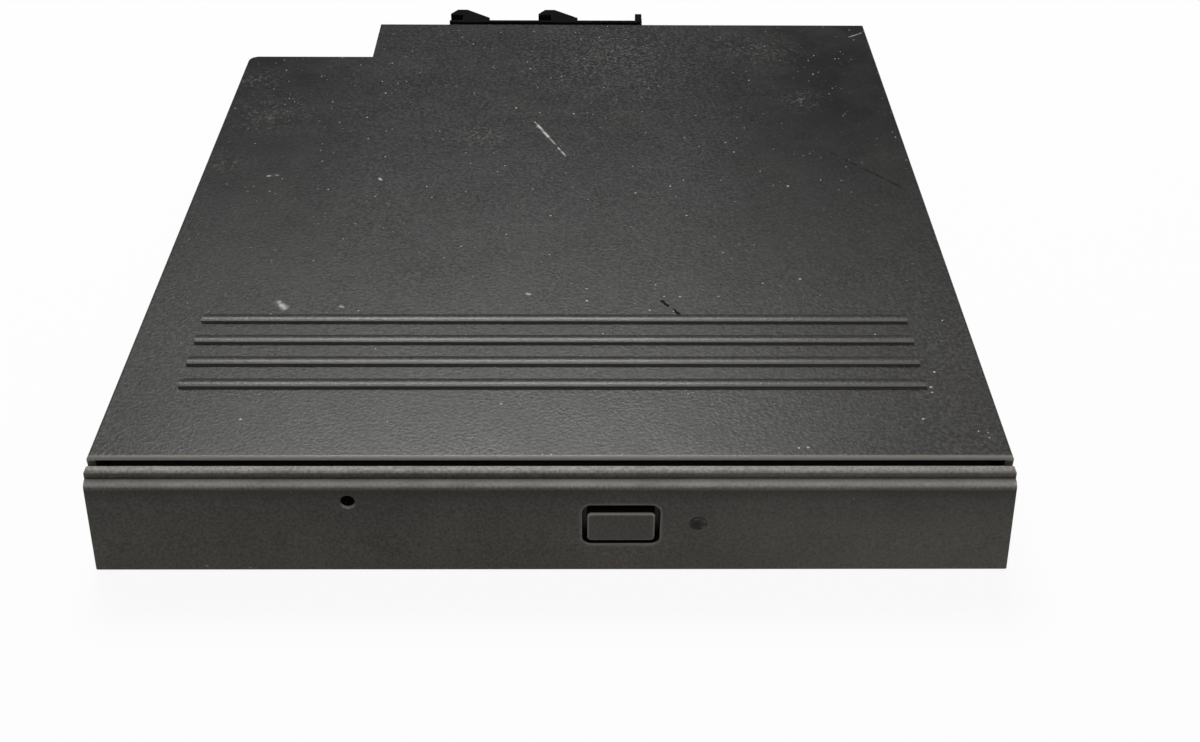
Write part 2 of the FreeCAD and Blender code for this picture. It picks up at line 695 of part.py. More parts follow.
def make_rail_guide(side):
    """Fixed runner on the case wall: a base strip with a tongue along it."""
    y0 = front_y + GUIDE_FRONT_DEPTH
    y1 = notch_y - SIDE_WALL - GUIDE_REAR_GAP
    low = rail_centre - RAIL_HEIGHT / 2
    base = box(inner_half - GUIDE_BASE, inner_half, y0, y1, low, low + RAIL_HEIGHT)
    tongue = box(rail_outer - RAIL_GROOVE_DEPTH + RAIL_CLEARANCE, inner_half - GUIDE_BASE / 2, y0, y1,
                 rail_centre - tongue_height / 2, rail_centre + tongue_height / 2)
    guide = base.fuse(tongue).removeSplitter()
    return guide if side > 0 else guide.mirror(V(0, 0, 0), V(1, 0, 0))


def make_slide_rail(side):
    """Half-travel runner of H section: one groove for the case, one for the drawer."""
    y0 = front_y + RAIL_FRONT_DEPTH
    y1 = notch_y - SIDE_WALL - RAIL_REAR_GAP
    low = rail_centre - RAIL_HEIGHT / 2
    bar = box(rail_inner, rail_outer, y0, y1, low, low + RAIL_HEIGHT)
    groove_low = rail_centre - RAIL_GROOVE_HEIGHT / 2
    grooves = [
        box(rail_inner - OVERSHOOT, rail_inner + RAIL_GROOVE_DEPTH, y0 - OVERSHOOT, y1 + OVERSHOOT,
            groove_low, groove_low + RAIL_GROOVE_HEIGHT),
        box(rail_outer - RAIL_GROOVE_DEPTH, rail_outer + OVERSHOOT, y0 - OVERSHOOT, y1 + OVERSHOOT,
            groove_low, groove_low + RAIL_GROOVE_HEIGHT),
    ]
    rail = cut(bar, grooves)
    return rail if side > 0 else rail.mirror(V(0, 0, 0), V(1, 0, 0))


button_z0 = button_height - BUTTON_SIZE_Z / 2
button_z1 = button_height + BUTTON_SIZE_Z / 2
button_x0 = BUTTON_X - BUTTON_SIZE_X / 2
button_x1 = BUTTON_X + BUTTON_SIZE_X / 2
clip_top = deck_underside - CLIP_DROP
clip_margins = (CLIP_INNER_MARGIN, CLIP_OUTER_MARGIN)
clip_places = [side * (half_width - margin) for margin in clip_margins for side in (-1, 1)]


def upright_panel(x0, x1, z0, z1, y0, y1, radius):
    """A panel in the XZ plane with rounded corners, running from y0 to y1."""
    block = box(x0, x1, y0, y1, z0, z1)
    along = [e for e in block.Edges if abs(e.Vertexes[0].Y - e.Vertexes[-1].Y) > (y1 - y0) / 2]
    return block.makeFillet(radius, along)


def make_front_bezel():
    """Moulded front: leaning face, rounded bead, stepped lip, and clips into the drawer."""
    left = -bezel_foot_half - OVERSHOOT
    length = 2 * (bezel_foot_half + OVERSHOOT)
    lip_front = bead_y + BEAD_RADIUS + BEAD_LEDGE
    soft = 1 - math.sqrt(0.5)
    foot_top = V(left, face_y(BEZEL_FLOOR_GAP + BEZEL_FOOT_RADIUS), BEZEL_FLOOR_GAP + BEZEL_FOOT_RADIUS)
    foot_low = V(left, foot_y + BEZEL_FOOT_RADIUS, BEZEL_FLOOR_GAP)
    foot_mid = V(left, foot_y + BEZEL_FOOT_RADIUS * soft, BEZEL_FLOOR_GAP + BEZEL_FOOT_RADIUS * soft)
    bead_low = V(left, bead_y, bead_foot_z)
    bead_mid = V(left, bead_y + BEAD_RADIUS * soft, bead_top_z - BEAD_RADIUS * soft)
    bead_high = V(left, bead_y + BEAD_RADIUS, bead_top_z)
    lip_low = V(left, lip_front, bezel_lip_z - BEZEL_LIP_RADIUS)
    lip_mid = V(left, lip_front + BEZEL_LIP_RADIUS * soft, bezel_lip_z - BEZEL_LIP_RADIUS * soft)
    lip_high = V(left, lip_front + BEZEL_LIP_RADIUS, bezel_lip_z)
    profile = [
        Part.makeLine(V(left, bezel_back, BEZEL_FLOOR_GAP), foot_low),
        Part.Arc(foot_low, foot_mid, foot_top).toShape(),
        Part.makeLine(foot_top, bead_low),
        Part.Arc(bead_low, bead_mid, bead_high).toShape(),
        Part.makeLine(bead_high, V(left, lip_front, bead_top_z)),
        Part.makeLine(V(left, lip_front, bead_top_z), lip_low),
        Part.Arc(lip_low, lip_mid, lip_high).toShape(),
        Part.makeLine(lip_high, V(left, bezel_back, bezel_lip_z)),
        Part.makeLine(V(left, bezel_back, bezel_lip_z), V(left, bezel_back, BEZEL_FLOOR_GAP)),
    ]
    body = Part.Face(Part.Wire(profile)).extrude(V(length, 0, 0))
    ahead = foot_y - OVERSHOOT
    front_shape = [
        V(-bezel_foot_half, ahead, BEZEL_FLOOR_GAP), V(bezel_foot_half, ahead, BEZEL_FLOOR_GAP),
        V(bezel_half, ahead, bezel_lip_z), V(-bezel_half, ahead, bezel_lip_z),
    ]
    front = Part.Face(Part.makePolygon(front_shape + [front_shape[0]])).extrude(V(0, bezel_back - ahead, 0))
    along = [e for e in front.Edges if abs(e.Vertexes[0].Y - e.Vertexes[-1].Y) > BEZEL_REACH / 2]
    body = body.common(front.makeFillet(BEZEL_CORNER_RADIUS, along))
    thick = bead_y + BEZEL_WALL
    pocket = box(-bezel_half + BEZEL_RIM, bezel_half - BEZEL_RIM, thick, bezel_back + OVERSHOOT,
                 BEZEL_FLOOR_GAP + BEZEL_RIM, bead_top_z - BEZEL_RIM)
    body = body.cut(pocket)
    solids = [body]
    solids.append(rod(PINHOLE_X, thick - BEZEL_WALL / 2, pinhole_height, PINHOLE_RADIUS + COLLAR_WALL,
                      bezel_back - thick + BEZEL_WALL / 2, V(0, 1, 0)))
    solids.append(rod(LAMP_X, thick - BEZEL_WALL / 2, lamp_height,
                      LAMP_RADIUS + LAMP_CLEARANCE + COLLAR_WALL,
                      bezel_back - thick + BEZEL_WALL / 2, V(0, 1, 0)))
    for x in clip_places:
        root = bead_y + BEZEL_WALL / 2
        barb_start = tray_inner_front + CLIP_CLEARANCE
        barb_end = barb_start + CLIP_BARB_LENGTH
        solids.append(box(x - CLIP_WIDTH / 2, x + CLIP_WIDTH / 2, root, barb_end, clip_top - CLIP_THICKNESS,
                          clip_top))
        low = clip_top - CLIP_THICKNESS
        hook = [V(x - CLIP_WIDTH / 2, barb_start, low), V(x - CLIP_WIDTH / 2, barb_start, low - CLIP_BARB),
                V(x - CLIP_WIDTH / 2, barb_end, low)]
        solids.append(Part.Face(Part.makePolygon(hook + [hook[0]])).extrude(V(CLIP_WIDTH, 0, 0)))
    tools = [
        upright_panel(button_x0 - BUTTON_GAP, button_x1 + BUTTON_GAP, button_z0 - BUTTON_GAP,
                      button_z1 + BUTTON_GAP + BUTTON_HEADROOM,
                      foot_y - OVERSHOOT, bezel_back + OVERSHOOT, BUTTON_CORNER + BUTTON_GAP),
        rod(PINHOLE_X, foot_y - OVERSHOOT, pinhole_height, PINHOLE_RADIUS,
            bezel_back - foot_y + 2 * OVERSHOOT, V(0, 1, 0)),
        rod(LAMP_X, foot_y - OVERSHOOT, lamp_height, LAMP_RADIUS + LAMP_CLEARANCE,
            bezel_back - foot_y + 2 * OVERSHOOT, V(0, 1, 0)),
    ]
    pin_face = face_y(pinhole_height)
    tools.append(Part.makeCone(PINHOLE_RADIUS + 2 * PINHOLE_CHAMFER, PINHOLE_RADIUS, 2 * PINHOLE_CHAMFER,
                               V(PINHOLE_X, pin_face - PINHOLE_CHAMFER, pinhole_height), V(0, 1, 0)))
    return cut(fuse(solids), tools)


flange_x0 = button_x0 - BUTTON_FLANGE
flange_x1 = button_x1 + BUTTON_FLANGE
flange_z0 = button_z0 - BUTTON_FLANGE
flange_z1 = button_z1 + BUTTON_FLANGE
flange_front = bead_y + BEZEL_WALL + RAIL_CLEARANCE / 2
flange_back = flange_front + BUTTON_FLANGE_THICKNESS
switch_front = tray_inner_front + BUTTON_TRAVEL + PLUNGER_LENGTH
stem_back = switch_front - PLUNGER_LENGTH


def make_eject_button():
    """Push button: crowned cap in the bezel's opening, a flange behind it and a stem."""
    cap_front = face_y(button_z1) - BUTTON_PROUD
    cap = upright_panel(button_x0, button_x1, button_z0, button_z1, cap_front, flange_back, BUTTON_CORNER)
    front_edges = [e for e in cap.Edges if max(v.Y for v in e.Vertexes) < cap_front + BUTTON_PROUD / 4]
    cap = cap.makeChamfer(BUTTON_CHAMFER, front_edges)
    flange = box(flange_x0, flange_x1, flange_front, flange_back, flange_z0, flange_z1)
    stem = rod(BUTTON_X, flange_front, button_height, BUTTON_STEM_RADIUS, stem_back - flange_front,
               V(0, 1, 0))
    return fuse([cap, flange, stem])


def make_switch_plunger():
    return rod(BUTTON_X, stem_back, button_height, PLUNGER_RADIUS, PLUNGER_LENGTH, V(0, 1, 0))


def make_eject_switch():
    """Push switch on the front board, with a bore for its plunger."""
    low = front_board_height + BOARD_THICKNESS
    body = box(BUTTON_X - SWITCH_WIDTH / 2, BUTTON_X + SWITCH_WIDTH / 2, switch_front,
               switch_front + SWITCH_LENGTH,
               low, button_height + PLUNGER_RADIUS + SWITCH_ROOF)
    bore = rod(BUTTON_X, switch_front - OVERSHOOT, button_height, PLUNGER_RADIUS + ROD_CLEARANCE,
               OVERSHOOT + BUTTON_TRAVEL + PLUNGER_LENGTH, V(0, 1, 0))
    return body.cut(bore)


def make_front_board():
    y0 = tray_inner_front
    return box(FRONT_BOARD_LEFT, FRONT_BOARD_RIGHT, y0, y0 + FRONT_BOARD_DEPTH, front_board_height,
               front_board_height + BOARD_THICKNESS)


def make_lamp_lens():
    """Light guide from the lamp to the bezel's face."""
    y0 = face_y(lamp_height)
    return rod(LAMP_X, y0, lamp_height, LAMP_RADIUS, tray_inner_front - y0, V(0, 1, 0))


def make_lamp():
    """Small side-firing lamp on the front board."""
    low = front_board_height + BOARD_THICKNESS
    y0 = tray_inner_front
    return box(LAMP_X - LAMP_RADIUS, LAMP_X + LAMP_RADIUS, y0, y0 + 2 * LAMP_RADIUS, low,
               lamp_height + LAMP_RADIUS / 2)


latch_y = front_y + LATCH_DEPTH
latch_top = TRAY_UNDERSIDE - LATCH_PLAY
latch_low = latch_top - LATCH_THICKNESS
post_y = front_y + LATCH_POST_DEPTH
tail_y = front_y + LATCH_TAIL_DEPTH
tail_top = pinhole_height + PINHOLE_RADIUS


def swept_tail():
    """Room in the drawer for the latch's tail over its swing."""
    half = LATCH_TAIL_WIDTH / 2
    block = box(PINHOLE_X - half - POCKET_CLEARANCE, PINHOLE_X + half + POCKET_CLEARANCE,
                tail_y - POCKET_CLEARANCE, tail_y + LATCH_TAIL_THICKNESS + POCKET_CLEARANCE,
                TRAY_UNDERSIDE - OVERSHOOT, tail_top + POCKET_CLEARANCE)
    steps = 4
    places = []
    for i in range(steps + 1):
        turned = block.copy()
        turned.rotate(V(LATCH_X, latch_y, 0), UP, -LATCH_SWING * i / steps)
        places.append(turned)
    return places


def window_solid(grow, z0, z1):
    """Keyhole through the deck for the mechanism, in the mechanism's frame."""
    disc = rod(0, 0, z0, WINDOW_RADIUS + grow, z1 - z0)
    half = WINDOW_HALF_WIDTH + grow
    return placed_mech(disc.fuse(box(0, window_reach + grow, -half, half, z0, z1)).removeSplitter())


def damper_places():
    """Two grommets behind the spindle and one beside the main rod, clear of the lead screw."""
    return [(DAMPER_INNER_U, -DAMPER_V), (DAMPER_INNER_U, DAMPER_V), (damper_outer_u, DAMPER_V)]


def make_tray():
    """Moulded drawer: rim and disc well over a hollow frame, with runner tongues outside."""
    deck = box(-rim_half, rim_half, tray_front, tray_rear, deck_underside, rim_top)
    front = box(-tray_half, tray_half, tray_front, tray_inner_front, TRAY_UNDERSIDE,
                deck_underside + DECK_THICKNESS / 2)
    back = box(-tray_half, tray_half, tray_rear - TRAY_WALL, tray_rear, TRAY_UNDERSIDE,
               deck_underside + DECK_THICKNESS / 2)
    solids = [deck, front, back]
    reach = rail_inner + RAIL_GROOVE_DEPTH - RAIL_CLEARANCE
    for side in (-1, 1):
        near = side * (tray_half - TRAY_WALL)
        far = side * tray_half
        solids.append(box(min(near, far), max(near, far), tray_front, tray_rear, TRAY_UNDERSIDE,
                          deck_underside + DECK_THICKNESS / 2))
        tip = side * reach
        solids.append(box(min(near, tip), max(near, tip), front_y + GUIDE_FRONT_DEPTH, tray_rear,
                          rail_centre - tongue_height / 2, rail_centre + tongue_height / 2))
    solids.append(rod(LATCH_X, latch_y, TRAY_UNDERSIDE, LATCH_HUB_RADIUS,
                      deck_underside + DECK_THICKNESS / 2 - TRAY_UNDERSIDE))
    tray = fuse(solids)
    tools = [rod(0, spindle_y, deck_top, well_radius, RIM_HEIGHT + OVERSHOOT)]
    turn = math.radians(SCALLOP_ANGLE)
    for side in (-1, 1):
        tools.append(rod(side * well_radius * math.sin(turn), spindle_y - well_radius * math.cos(turn),
                         deck_top,
                         SCALLOP_RADIUS, RIM_HEIGHT + OVERSHOOT))
    tools.append(window_solid(0, deck_underside - OVERSHOOT, deck_top))
    tools.append(window_solid(DECK_COVER_SEAT, deck_top - DECK_COVER_THICKNESS, deck_top))
    for u, v in damper_places():
        tools.append(placed_mech(rod(u, v, deck_underside - OVERSHOOT,
                                     DAMPER_SCREW_RADIUS + SCREW_CLEARANCE,
                                     OVERSHOOT + DAMPER_SCREW_BITE + SCREW_CLEARANCE)))
    for x in clip_places:
        half = CLIP_WIDTH / 2 + CLIP_CLEARANCE
        tools.append(box(x - half, x + half, tray_front - OVERSHOOT, tray_inner_front + OVERSHOOT,
                         clip_top - CLIP_THICKNESS - CLIP_CLEARANCE, clip_top + CLIP_CLEARANCE))
    room = RAIL_CLEARANCE
    tools.append(box(flange_x0 - room, flange_x1 + room, tray_front - OVERSHOOT,
                     flange_back + BUTTON_TRAVEL + room,
                     flange_z0 - room, flange_z1 + room))
    tools.append(rod(BUTTON_X, tray_front, button_height, BUTTON_STEM_RADIUS + room, TRAY_WALL + OVERSHOOT,
                     V(0, 1, 0)))
    tools.append(rod(PINHOLE_X, tray_front - OVERSHOOT, pinhole_height, PINHOLE_RADIUS, tail_y - tray_front,
                     V(0, 1, 0)))
    tools.append(rod(LAMP_X, tray_front - OVERSHOOT, lamp_height, LAMP_RADIUS + LAMP_CLEARANCE,
                     TRAY_WALL + 2 * OVERSHOOT, V(0, 1, 0)))
    tools.append(rod(LATCH_X, latch_y, TRAY_UNDERSIDE - OVERSHOOT, LATCH_PIN_RADIUS + LATCH_PIN_CLEARANCE,
                     OVERSHOOT + deck_underside - TRAY_UNDERSIDE))
    tools.extend(swept_tail())
    return cut(tray, tools)


def make_latch_pin():
    return rod(LATCH_X, latch_y, latch_low - LATCH_PLAY, LATCH_PIN_RADIUS,
               deck_underside - latch_low + LATCH_PLAY)


def make_latch_lever():
    """Bell crank: a hooked arm towards the post, and a tail that stands behind the pinhole.

    The hook's face is round about the pin, so that it swings in behind the post.
    """
    hub = rod(LATCH_X, latch_y, latch_low, LATCH_HUB_RADIUS, LATCH_THICKNESS)
    arm_x = LATCH_POST_X - LATCH_TOOTH + LATCH_POST_RADIUS / 3
    tooth_y = post_y + LATCH_POST_RADIUS + LATCH_PLAY
    arm = prism([
        V(arm_x - LATCH_ARM_WIDTH, tooth_y, latch_low), V(arm_x, tooth_y, latch_low),
        V(LATCH_X + LATCH_ARM_WIDTH / 2, latch_y, latch_low),
        V(LATCH_X - LATCH_ARM_WIDTH / 2, latch_y, latch_low),
    ], LATCH_THICKNESS)
    tooth = box(arm_x - LATCH_ARM_WIDTH, arm_x + LATCH_TOOTH, tooth_y, tooth_y + LATCH_TOOTH_LENGTH,
                latch_low, latch_top)
    tail_mid = tail_y + LATCH_TAIL_THICKNESS / 2
    tail_arm = prism([
        V(PINHOLE_X - LATCH_TAIL_WIDTH / 2, tail_y, latch_low),
        V(PINHOLE_X + LATCH_TAIL_WIDTH / 2, tail_y, latch_low),
        V(LATCH_X + LATCH_ARM_WIDTH / 2, latch_y - LATCH_ARM_WIDTH / 2, latch_low),
        V(LATCH_X - LATCH_ARM_WIDTH / 2, latch_y + LATCH_ARM_WIDTH / 2, latch_low),
        V(PINHOLE_X - LATCH_TAIL_WIDTH / 2, tail_mid + LATCH_TAIL_THICKNESS, latch_low),
    ], LATCH_THICKNESS)
    tail = box(PINHOLE_X - LATCH_TAIL_WIDTH / 2, PINHOLE_X + LATCH_TAIL_WIDTH / 2, tail_y,
               tail_y + LATCH_TAIL_THICKNESS,
               latch_low, tail_top)
    lever = fuse([hub, arm, tooth, tail_arm, tail])
    lever = lever.cut(rod(LATCH_X, latch_y, latch_low - OVERSHOOT, LATCH_PIN_RADIUS + LATCH_PIN_CLEARANCE,
                          LATCH_THICKNESS + 2 * OVERSHOOT))
    reach = math.hypot(LATCH_POST_X - LATCH_X, latch_y - post_y) - LATCH_POST_RADIUS - LATCH_PLAY
    tip_room = box(LATCH_POST_X - LATCH_POST_RADIUS, LATCH_POST_X + LATCH_TOOTH, post_y, latch_y, latch_low,
                   latch_top)
    lever = lever.cut(tip_room.cut(rod(LATCH_X, latch_y, latch_low, reach, LATCH_THICKNESS)))
    lever.rotate(V(LATCH_X, latch_y, 0), UP, -LATCH_SWING)
    return lever


def make_latch_post():
    """Steel post in the tub's floor that the latch hooks."""
    seat = FLOOR_PLATE + BOARD_STANDOFF
    shank = rod(LATCH_POST_X, post_y, seat, LATCH_POST_RADIUS, TRAY_UNDERSIDE - LATCH_POST_TOP_GAP - seat)
    root = rod(LATCH_POST_X, post_y, FLOOR_PLATE / 2, LATCH_POST_RADIUS / 2, seat)
    return shank.fuse(root).removeSplitter()


def make_solenoid():
    """Pull magnet that frees the latch: wound bobbin in a bent steel yoke under the deck."""
    y = front_y + SOLENOID_DEPTH
    z = deck_underside - YOKE_HALF_WIDTH - FEED_BRACKET
    coil = rod(SOLENOID_X, y, z, COIL_RADIUS, SOLENOID_LENGTH, V(1, 0, 0))
    core = rod(SOLENOID_X - FEED_BRACKET, y, z, CORE_RADIUS, SOLENOID_LENGTH + 3 * FEED_BRACKET,
               V(1, 0, 0))
    side = YOKE_HALF_WIDTH
    roof = box(SOLENOID_X - FEED_BRACKET, SOLENOID_X + SOLENOID_LENGTH + FEED_BRACKET, y - side, y + side,
               deck_underside - FEED_BRACKET, deck_underside)
    ends = []
    for x in (SOLENOID_X - FEED_BRACKET, SOLENOID_X + SOLENOID_LENGTH):
        ends.append(box(x, x + FEED_BRACKET, y - side, y + side, z - side, deck_underside))
    return fuse([coil, core, roof] + ends)


def make_deck_cover():
    """Thin plate let into the deck, with a keyhole for the turntable and the lens."""
    gap = DECK_COVER_CLEARANCE
    plate = window_solid(DECK_COVER_SEAT - gap, deck_top - DECK_COVER_THICKNESS, deck_top)
    hole = rod(0, 0, deck_top - OVERSHOOT - DECK_COVER_THICKNESS, ROTOR_RADIUS + ROTOR_CLEARANCE,
               DECK_COVER_THICKNESS + 2 * OVERSHOOT)
    slot = box(0, lens_reach + LENS_HOLDER_HALF_LENGTH + OVERSHOOT, -LENS_SLOT_HALF_WIDTH,
               LENS_SLOT_HALF_WIDTH,
               deck_top - OVERSHOOT - DECK_COVER_THICKNESS, deck_top + OVERSHOOT)
    return plate.cut(placed_mech(hole.fuse(slot).removeSplitter()))


def make_mech_chassis():
    """Pressed plate that carries the spindle motor, the rods and the feed motor."""
    a = CHASSIS_CHAMFER_BACK
    b = CHASSIS_CHAMFER_FRONT
    w = CHASSIS_HALF_WIDTH
    u0 = CHASSIS_INNER_U
    u1 = chassis_outer_u
    z = chassis_under
    plate = prism([
        V(u0 + a, -w, z), V(u1 - b, -w, z), V(u1, -w + b, z), V(u1, w - b, z),
        V(u1 - b, w, z), V(u0 + a, w, z), V(u0, w - a, z), V(u0, -w + a, z),
    ], CHASSIS_THICKNESS)
    tools = [
        rod(0, 0, z - OVERSHOOT, ROTOR_RADIUS + ROTOR_CLEARANCE, CHASSIS_THICKNESS + 2 * OVERSHOOT),
        box(0, window_reach, -CHASSIS_WINDOW_HALF_WIDTH, CHASSIS_WINDOW_HALF_WIDTH, z - OVERSHOOT,
            z + CHASSIS_THICKNESS + OVERSHOOT),
    ]
    for u, v in damper_places():
        tools.append(rod(u, v, z - OVERSHOOT, DAMPER_NECK_RADIUS + DAMPER_NECK_CLEARANCE,
                         CHASSIS_THICKNESS + 2 * OVERSHOOT))
    body = cut(plate, tools)
    clamps = []
    for v in (-ROD_V, ROD_V):
        for u in (ROD_INNER_U, rod_outer_u - ROD_CLAMP_LENGTH):
            clamps.append(box(u, u + ROD_CLAMP_LENGTH, v - ROD_CLAMP_HALF_WIDTH, v + ROD_CLAMP_HALF_WIDTH,
                              rod_height - ROD_CLAMP_HALF_WIDTH, z + CHASSIS_THICKNESS / 2))
    clamps.append(box(lead_screw_end_u - ROD_CLAMP_LENGTH, lead_screw_end_u, SCREW_V - ROD_CLAMP_HALF_WIDTH,
                      SCREW_V + ROD_CLAMP_HALF_WIDTH, rod_height - ROD_CLAMP_HALF_WIDTH,
                      z + CHASSIS_THICKNESS / 2))
    body = fuse([body] + clamps)
    bores = []
    for v in (-ROD_V, ROD_V):
        bores.append(rod(ROD_INNER_U - OVERSHOOT, v, rod_height, ROD_RADIUS,
                         rod_outer_u - ROD_INNER_U + 2 * OVERSHOOT, V(1, 0, 0)))
    bores.append(rod(lead_screw_end_u - 2 * ROD_CLAMP_LENGTH, SCREW_V, rod_height,
                     LEAD_SCREW_RADIUS / 2 + ROD_CLEARANCE,
                     3 * ROD_CLAMP_LENGTH, V(1, 0, 0)))
    return placed_mech(cut(body, bores))


def make_dampers():
    """Rubber grommets, grooved for the chassis and seated under the deck."""
    grommets = []
    low = chassis_under - DAMPER_FLANGE
    for u, v in damper_places():
        foot = rod(u, v, low, DAMPER_RADIUS, DAMPER_FLANGE)
        neck = rod(u, v, low, DAMPER_NECK_RADIUS, deck_underside - low)
        head = rod(u, v, chassis_top, DAMPER_RADIUS, deck_underside - chassis_top)
        bore = rod(u, v, low - OVERSHOOT, DAMPER_BORE_RADIUS, deck_underside - low + 2 * OVERSHOOT)
        grommets.append(placed_mech(fuse([foot, neck, head]).cut(bore)))
    return Part.makeCompound(grommets)


def make_damper_screws():
    screws = []
    low = chassis_under - DAMPER_FLANGE
    for u, v in damper_places():
        head = rod(u, v, low - DAMPER_SCREW_HEAD_HEIGHT, DAMPER_SCREW_HEAD_RADIUS, DAMPER_SCREW_HEAD_HEIGHT)
        shank = rod(u, v, low - DAMPER_SCREW_HEAD_HEIGHT, DAMPER_SCREW_RADIUS,
                    DAMPER_SCREW_HEAD_HEIGHT + deck_underside - low + DAMPER_SCREW_BITE)
        screws.append(placed_mech(head.fuse(shank).removeSplitter()))
    return Part.makeCompound(screws)


rotor_top = disc_plane - PAD_THICKNESS
rotor_low = rotor_top - ROTOR_SKIRT
base_top = TRAY_UNDERSIDE + MOTOR_BASE_THICKNESS
sleeve_top = rotor_top - ROTOR_WALL - PAD_THICKNESS


def make_motor_base():
    """Motor base plate under the chassis, its posts and the bearing sleeve."""
    plate = box(-MOTOR_BASE_TAIL, MOTOR_BASE_HALF_WIDTH - 3 * SHAFT_RADIUS, -MOTOR_BASE_HALF_WIDTH,
                MOTOR_BASE_HALF_WIDTH,
                TRAY_UNDERSIDE, base_top)
    solids = [plate, rod(0, 0, TRAY_UNDERSIDE, SLEEVE_RADIUS, sleeve_top - TRAY_UNDERSIDE)]
    for v in (-1, 1):
        solids.append(rod(-MOTOR_BASE_TAIL + 2 * MOTOR_POST_RADIUS,
                          v * (MOTOR_BASE_HALF_WIDTH - 2 * MOTOR_POST_RADIUS),
                          TRAY_UNDERSIDE, MOTOR_POST_RADIUS, chassis_under - TRAY_UNDERSIDE))
    bore = rod(0, 0, base_top - MOTOR_BASE_THICKNESS / 2, SHAFT_RADIUS + SHAFT_CLEARANCE, CASE_HEIGHT)
    return placed_mech(fuse(solids).cut(bore))


def make_stator():
    """Laminated star of nine wound teeth round the bearing sleeve."""
    low = base_top
    high = rotor_top - ROTOR_WALL - 2 * PAD_THICKNESS
    middle = (low + high) / 2
    half = (high - low) / 4
    solids = [ring(0, 0, middle - half, SLEEVE_RADIUS + 2 * SHAFT_RADIUS, SLEEVE_RADIUS, 2 * half)]
    seat = ring(0, 0, low, SLEEVE_RADIUS + SHAFT_RADIUS, SLEEVE_RADIUS, middle - half - low)
    solids.append(seat)
    tooth_width = STATOR_TOOTH_WIDTH
    for i in range(STATOR_TEETH):
        tooth = box(SLEEVE_RADIUS + SHAFT_RADIUS, STATOR_RADIUS, -tooth_width / 2, tooth_width / 2,
                    middle - half, middle + half)
        shoe = box(STATOR_RADIUS - SHAFT_RADIUS, STATOR_RADIUS, -tooth_width, tooth_width, middle - half,
                   middle + half)
        pole = tooth.fuse(shoe).removeSplitter()
        pole.rotate(V(0, 0, 0), UP, 360 * i / STATOR_TEETH)
        solids.append(pole)
    return placed_mech(fuse(solids))


claw_low = rotor_top + CLAW_LIFT
claw_inner = NOSE_RADIUS - CLAW_LENGTH
claw_angles = [360 * i / CLAW_COUNT for i in range(CLAW_COUNT)]


def make_rotor():
    """Turned rotor cup with the disc seat, the centring nose and the shaft in one."""
    r0 = SHAFT_RADIUS
    inner = ROTOR_RADIUS - ROTOR_WALL
    top = rotor_top + PAD_THICKNESS + NOSE_HEIGHT
    outline = [
        V(0, 0, base_top), V(r0, 0, base_top), V(r0, 0, rotor_top - ROTOR_WALL),
        V(inner, 0, rotor_top - ROTOR_WALL),
        V(inner, 0, rotor_low), V(ROTOR_RADIUS, 0, rotor_low), V(ROTOR_RADIUS, 0, rotor_top),
        V(NOSE_RADIUS, 0, rotor_top), V(NOSE_RADIUS, 0, top - NOSE_CHAMFER),
        V(NOSE_RADIUS - NOSE_CHAMFER, 0, top), V(0, 0, top),
    ]
    cup = Part.Face(Part.makePolygon(outline + [outline[0]])).revolve(V(0, 0, 0), UP, 360)
    slots = []
    for angle in claw_angles:
        half = CLAW_WIDTH / 2 + CLAW_CLEARANCE
        slot = box(claw_inner - CLAW_TRAVEL - CLAW_CLEARANCE, NOSE_RADIUS + OVERSHOOT, -half, half,
                   claw_low - CLAW_CLEARANCE,
                   claw_low + CLAW_THICKNESS + CLAW_CLEARANCE)
        slot.rotate(V(0, 0, 0), UP, angle)
        slots.append(slot)
    return placed_mech(cut(cup, slots))


def make_rotor_pad():
    """Rubber ring that the disc rests on."""
    outer = ROTOR_RADIUS - PAD_THICKNESS
    return placed_mech(ring(0, 0, rotor_top, outer, outer - PAD_WIDTH, PAD_THICKNESS))


def make_claw(index):
    """Sprung claw that holds the disc down over the edge of its hole."""
    low = claw_low
    high = claw_low + CLAW_THICKNESS
    side = [
        V(claw_inner, -CLAW_WIDTH / 2, low), V(NOSE_RADIUS, -CLAW_WIDTH / 2, low),
        V(NOSE_RADIUS + CLAW_PROUD, -CLAW_WIDTH / 2, (low + high) / 2),
        V(NOSE_RADIUS, -CLAW_WIDTH / 2, high),
        V(claw_inner, -CLAW_WIDTH / 2, high),
    ]
    claw = Part.Face(Part.makePolygon(side + [side[0]])).extrude(V(0, CLAW_WIDTH, 0))
    claw.rotate(V(0, 0, 0), UP, claw_angles[index])
    return placed_mech(claw)


def make_guide_rod(v):
    return placed_mech(rod(ROD_INNER_U, v, rod_height, ROD_RADIUS, rod_outer_u - ROD_INNER_U, V(1, 0, 0)))


sled_top = chassis_under - SLED_HEAD_GAP
sled_u0 = LENS_HOME_U - SLED_INNER
sled_u1 = LENS_HOME_U + SLED_OUTER
bush_half = ROD_RADIUS + SLED_BUSH_WALL
holder_top = tower_top - LENS_TRAVEL - LENS_CROWN
holder_low = holder_top - LENS_HOLDER_HEIGHT


